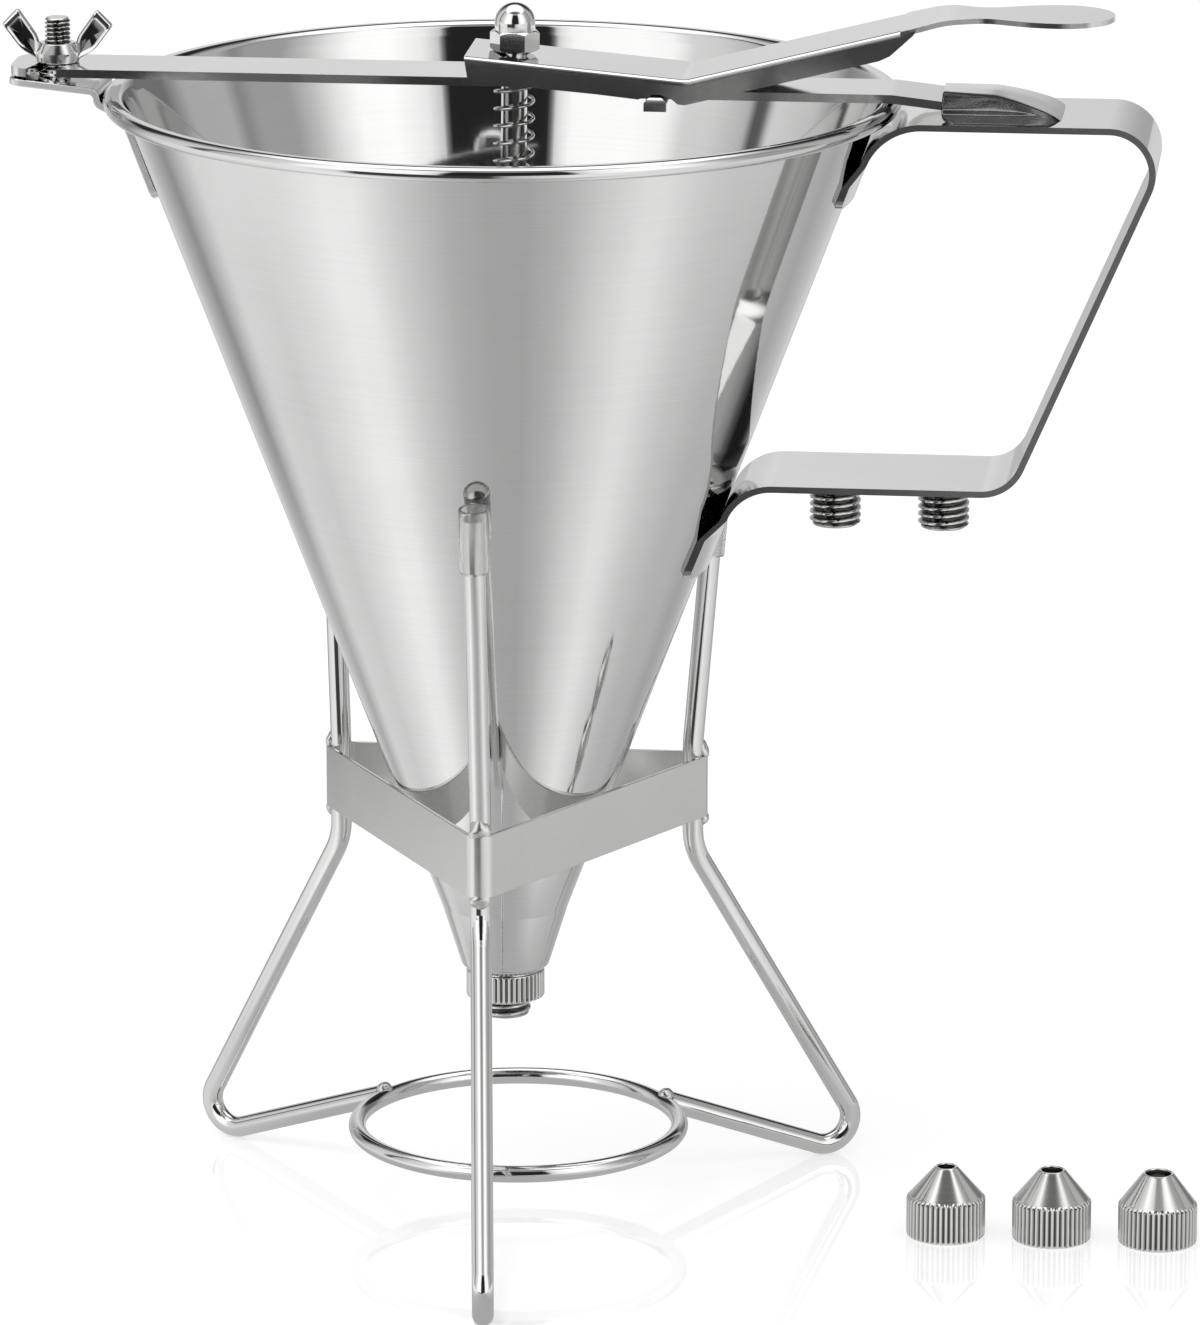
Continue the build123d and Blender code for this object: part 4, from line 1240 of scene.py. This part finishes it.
class DISPENSER_OT_sleeves(Operator):
    """Push a clear soft tube over the top of each leg"""

    bl_idname = "dispenser.sleeves"
    bl_label = "Sleeves"

    def execute(self, context):
        wall = ring_profile(
            SLEEVE_RADIUS - SLEEVE_WALL, SLEEVE_RADIUS, 0, SLEEVE_LENGTH, [0.25, 0.35, 0.4, 0.3]
        )
        for name, leg in LEGS.items():
            radius, top, lean = leg_top(leg)
            reach = radius - SLEEVE_LENGTH * math.sin(lean)
            low = on_plane(leg.azimuth, reach, top - SLEEVE_LENGTH * math.cos(lean))
            high = on_plane(leg.azimuth, radius, top)
            tube = lathe("soft_tube_" + name, wall, low, high - low, steps=48, lids=(), crease=60)
            fit(tube, "stand", "soft_sleeve", FINISHES["tube"], "sleeve_" + name)
        return {"FINISHED"}


# ---------------------------------------------------------------- nozzles
class DISPENSER_OT_nozzles(Operator):
    """Turn and knurl the three nozzles"""

    bl_idname = "dispenser.nozzles"
    bl_label = "Nozzles"

    def execute(self, context):
        sizes = context.scene.dispenser_sizes
        for size, orifice in ORIFICES.items():
            node = "nozzle_" + size
            x, y = upright(node)[:2]
            profile = closed_round(
                [
                    (NOZZLE_SOCKET, 0), (NOZZLE_RADIUS, 0), (NOZZLE_RADIUS, NOZZLE_EDGE),
                    (orifice + NOZZLE_LIP, NOZZLE_HEIGHT), (orifice, NOZZLE_HEIGHT),
                    (orifice, NOZZLE_HEIGHT - ORIFICE_LENGTH), (NOZZLE_SOCKET, SOCKET_DEPTH),
                ],
                [0.3, 0.7, 0.35, 0.2, 0.2, 0.2, 0.3],
                steps=5,
            )
            shape = divided(braced(np.vstack([profile, profile[:1]])), 0.5)[:-1]

            def in_bore(radius, height, orifice=orifice):
                """Which points lie down the orifice, where the material paints shade."""
                return (radius < orifice + 0.05) & (height < NOZZLE_HEIGHT - 0.6)

            made = knurled(
                node + "_turned", shape, (x, y, 0), (0.35, NOZZLE_EDGE + 0.45), 8.7, sizes,
                crease=40, deep=in_bore,
            )
            fit(made, node, "turned", FINISHES["turned"], node)
        return {"FINISHED"}


# ---------------------------------------------------------------- stage
class DISPENSER_OT_stage(Operator):
    """Set the pale floor, the soft studio light and the camera"""

    bl_idname = "dispenser.stage"
    bl_label = "Stage"

    def seen(self, graph, direction):
        """Shares of a direction towards the camera's side and up, and its angle round from there.

        The angle is arctan2(right, ahead) from 0 to 1, with 0.5 towards the camera.
        """
        turn = math.radians(CAMERA_TURN)
        x, y, up = graph.split(direction)
        ahead = x * math.sin(turn) - y * math.cos(turn)
        right = x * math.cos(turn) + y * math.sin(turn)
        angle = graph.maths("ARCTAN2", right, ahead)
        return ahead, up, angle / (2 * math.pi) + 0.5

    def sides(self, graph, position, tones):
        """Studio brightness by azimuth: pairs of degrees from the camera's side and a tone."""
        stops = [(0.5 + degrees / 360, tone) for degrees, tone in tones]
        return graph.node("ShaderNodeValToRGB", {0: position}, stops=stops)

    def floor(self, mirror):
        """A pale floor: white with a soft shadow and a faint mirror image, patterned for metal."""
        x, y = np.meshgrid((-FLOOR_SIZE, FLOOR_SIZE), (-FLOOR_SIZE, FLOOR_SIZE))
        made = skin("floor", np.stack([x, y, 0 * x], -1))
        paint, graph = new_material("pale floor")
        place = graph.place()
        position = self.seen(graph, place)[2]
        near = self.sides(graph, position, NEAR_FLOOR_TONES)
        far = self.sides(graph, position, FAR_FLOOR_TONES)
        distance = graph.node("ShaderNodeVectorMath", {0: place}, output=1, operation="LENGTH")
        ease = graph.between(distance, *FLOOR_CHANGE)
        under = 1 - graph.between(distance, *UNDER_STAND)
        tone = (near * (1 - under) + under * UNDER_TONE) * (1 - ease) + far * ease
        seen_by_metal = graph.node("ShaderNodeEmission", {"Color": tone, "Strength": 1.0})
        path = graph.node("ShaderNodeLightPath", output="Is Glossy Ray")
        white, full = (FLOOR_WHITE,) * 3 + (1,), (1, 1, 1, 1)
        chalk = graph.node("ShaderNodeBsdfDiffuse", {"Color": white})
        glow = graph.node("ShaderNodeEmission", {"Color": full, "Strength": FLOOR_GLOW})
        chalk = graph.node("ShaderNodeAddShader", {0: chalk, 1: glow})
        gloss = graph.node("ShaderNodeBsdfGlossy", {"Color": full, "Roughness": FLOOR_BLUR})
        plain = graph.node("ShaderNodeMixShader", {0: mirror, 1: chalk, 2: gloss})
        surface = graph.node("ShaderNodeMixShader", {0: path, 1: plain, 2: seen_by_metal})
        graph.node("ShaderNodeOutputMaterial", {"Surface": surface})
        made.data.materials.append(paint)

    def world(self):
        """White for the camera, an even light, and bright and dark sides as metal sees them."""
        world = bpy.data.worlds.new("studio")
        bpy.context.scene.world = world
        world.use_nodes = True
        graph = Graph(world.node_tree)
        direction = graph.node("ShaderNodeTexCoord", output="Generated")
        ahead, up, position = self.seen(graph, direction)
        tone = self.sides(graph, position, SKY_TONES)
        # a dark wall far behind, and a bright ceiling with a dark patch before the object
        wall = ((up - 0.33) * 14.0).clipped() * ((-0.55 - ahead) * 8.0).clipped()
        ceiling = ((up - 0.74) * 9.0).clipped()
        patch = ((up - 0.76) * 12.0).clipped() * ((ahead - 0.22) * 8.0).clipped()
        tone = tone * (1 - wall * 0.93) * (1 - ceiling) + ceiling * (1.6 - patch * 1.45)
        path = graph.node("ShaderNodeLightPath")
        rays = path.socket.node.outputs
        glossy = Signal(graph, rays["Is Glossy Ray"])
        camera = Signal(graph, rays["Is Camera Ray"])
        passing = Signal(graph, rays["Is Transmission Ray"])
        clear = (camera + passing).clipped()
        strength = tone * glossy + (1 - glossy) * (clear + (1 - clear) * EVEN_LIGHT)
        backdrop = graph.node("ShaderNodeBackground", {"Color": (1, 1, 1, 1), "Strength": strength})
        graph.node("ShaderNodeOutputWorld", {"Surface": backdrop})

    def lamp(self, name, place, size, power):
        """A square soft lamp that looks at the middle of the object."""
        light = bpy.data.lights.new(name, "AREA")
        light.shape = "SQUARE"
        light.size = size
        light.energy = power
        made = bpy.data.objects.new(name, light)
        made.location = place
        aim = Vector(LAMP_AIM) - Vector(place)
        made.rotation_euler = aim.to_track_quat("-Z", "Y").to_euler()
        made.visible_glossy = False
        bpy.context.scene.collection.objects.link(made)

    def camera(self):
        """A long lens that looks a little down."""
        lens = bpy.data.cameras.new("camera")
        lens.lens = CAMERA_LENS
        lens.sensor_width = CAMERA_SENSOR
        lens.clip_end = 60.0
        made = bpy.data.objects.new("camera", lens)
        made.location = CAMERA_PLACE
        made.rotation_euler = (math.radians(90 - CAMERA_DIP), 0.0, math.radians(CAMERA_TURN))
        scene = bpy.context.scene
        scene.collection.objects.link(made)
        scene.camera = made
        scene.view_settings.view_transform = "Standard"

    def execute(self, context):
        self.floor(context.scene.dispenser_finish.floor_mirror)
        self.world()
        self.lamp("top lamp", (-0.4, -0.5, 1.9), 1.4, 9.0)
        self.camera()
        return {"FINISHED"}


# ---------------------------------------------------------------- panel and start
OPERATORS = (
    DISPENSER_OT_funnel,
    DISPENSER_OT_outlet,
    DISPENSER_OT_strips,
    DISPENSER_OT_socket,
    DISPENSER_OT_studs,
    DISPENSER_OT_valve,
    DISPENSER_OT_spring,
    DISPENSER_OT_wing_nut,
    DISPENSER_OT_stand,
    DISPENSER_OT_sleeves,
    DISPENSER_OT_nozzles,
    DISPENSER_OT_stage,
)


class DISPENSER_PT_panel(Panel):
    """Lists the dispenser's settings and its steps"""

    bl_label = "Batter dispenser"
    bl_idname = "DISPENSER_PT_panel"
    bl_space_type = "VIEW_3D"
    bl_region_type = "UI"
    bl_category = "Dispenser"

    def draw(self, context):
        layout = self.layout
        for group in (context.scene.dispenser_sizes, context.scene.dispenser_finish):
            for name in group.__annotations__:
                layout.prop(group, name)
        for operator in OPERATORS:
            layout.operator(operator.bl_idname)


CLASSES = (DispenserSizes, DispenserFinish, *OPERATORS, DISPENSER_PT_panel)


def register():
    """Adds the settings, operators and panel."""
    for cls in CLASSES:
        bpy.utils.register_class(cls)
    bpy.types.Scene.dispenser_sizes = PointerProperty(type=DispenserSizes)
    bpy.types.Scene.dispenser_finish = PointerProperty(type=DispenserFinish)


def unregister():
    """Takes them away again."""
    del bpy.types.Scene.dispenser_finish
    del bpy.types.Scene.dispenser_sizes
    for cls in reversed(CLASSES):
        bpy.utils.unregister_class(cls)


def main():
    """Builds every piece and the stage."""
    register()
    make_finishes(bpy.context.scene.dispenser_finish)
    for operator in OPERATORS:
        group, name = operator.bl_idname.split(".")
        getattr(getattr(bpy.ops, group), name)()


if __name__ == "__main__":
    main()
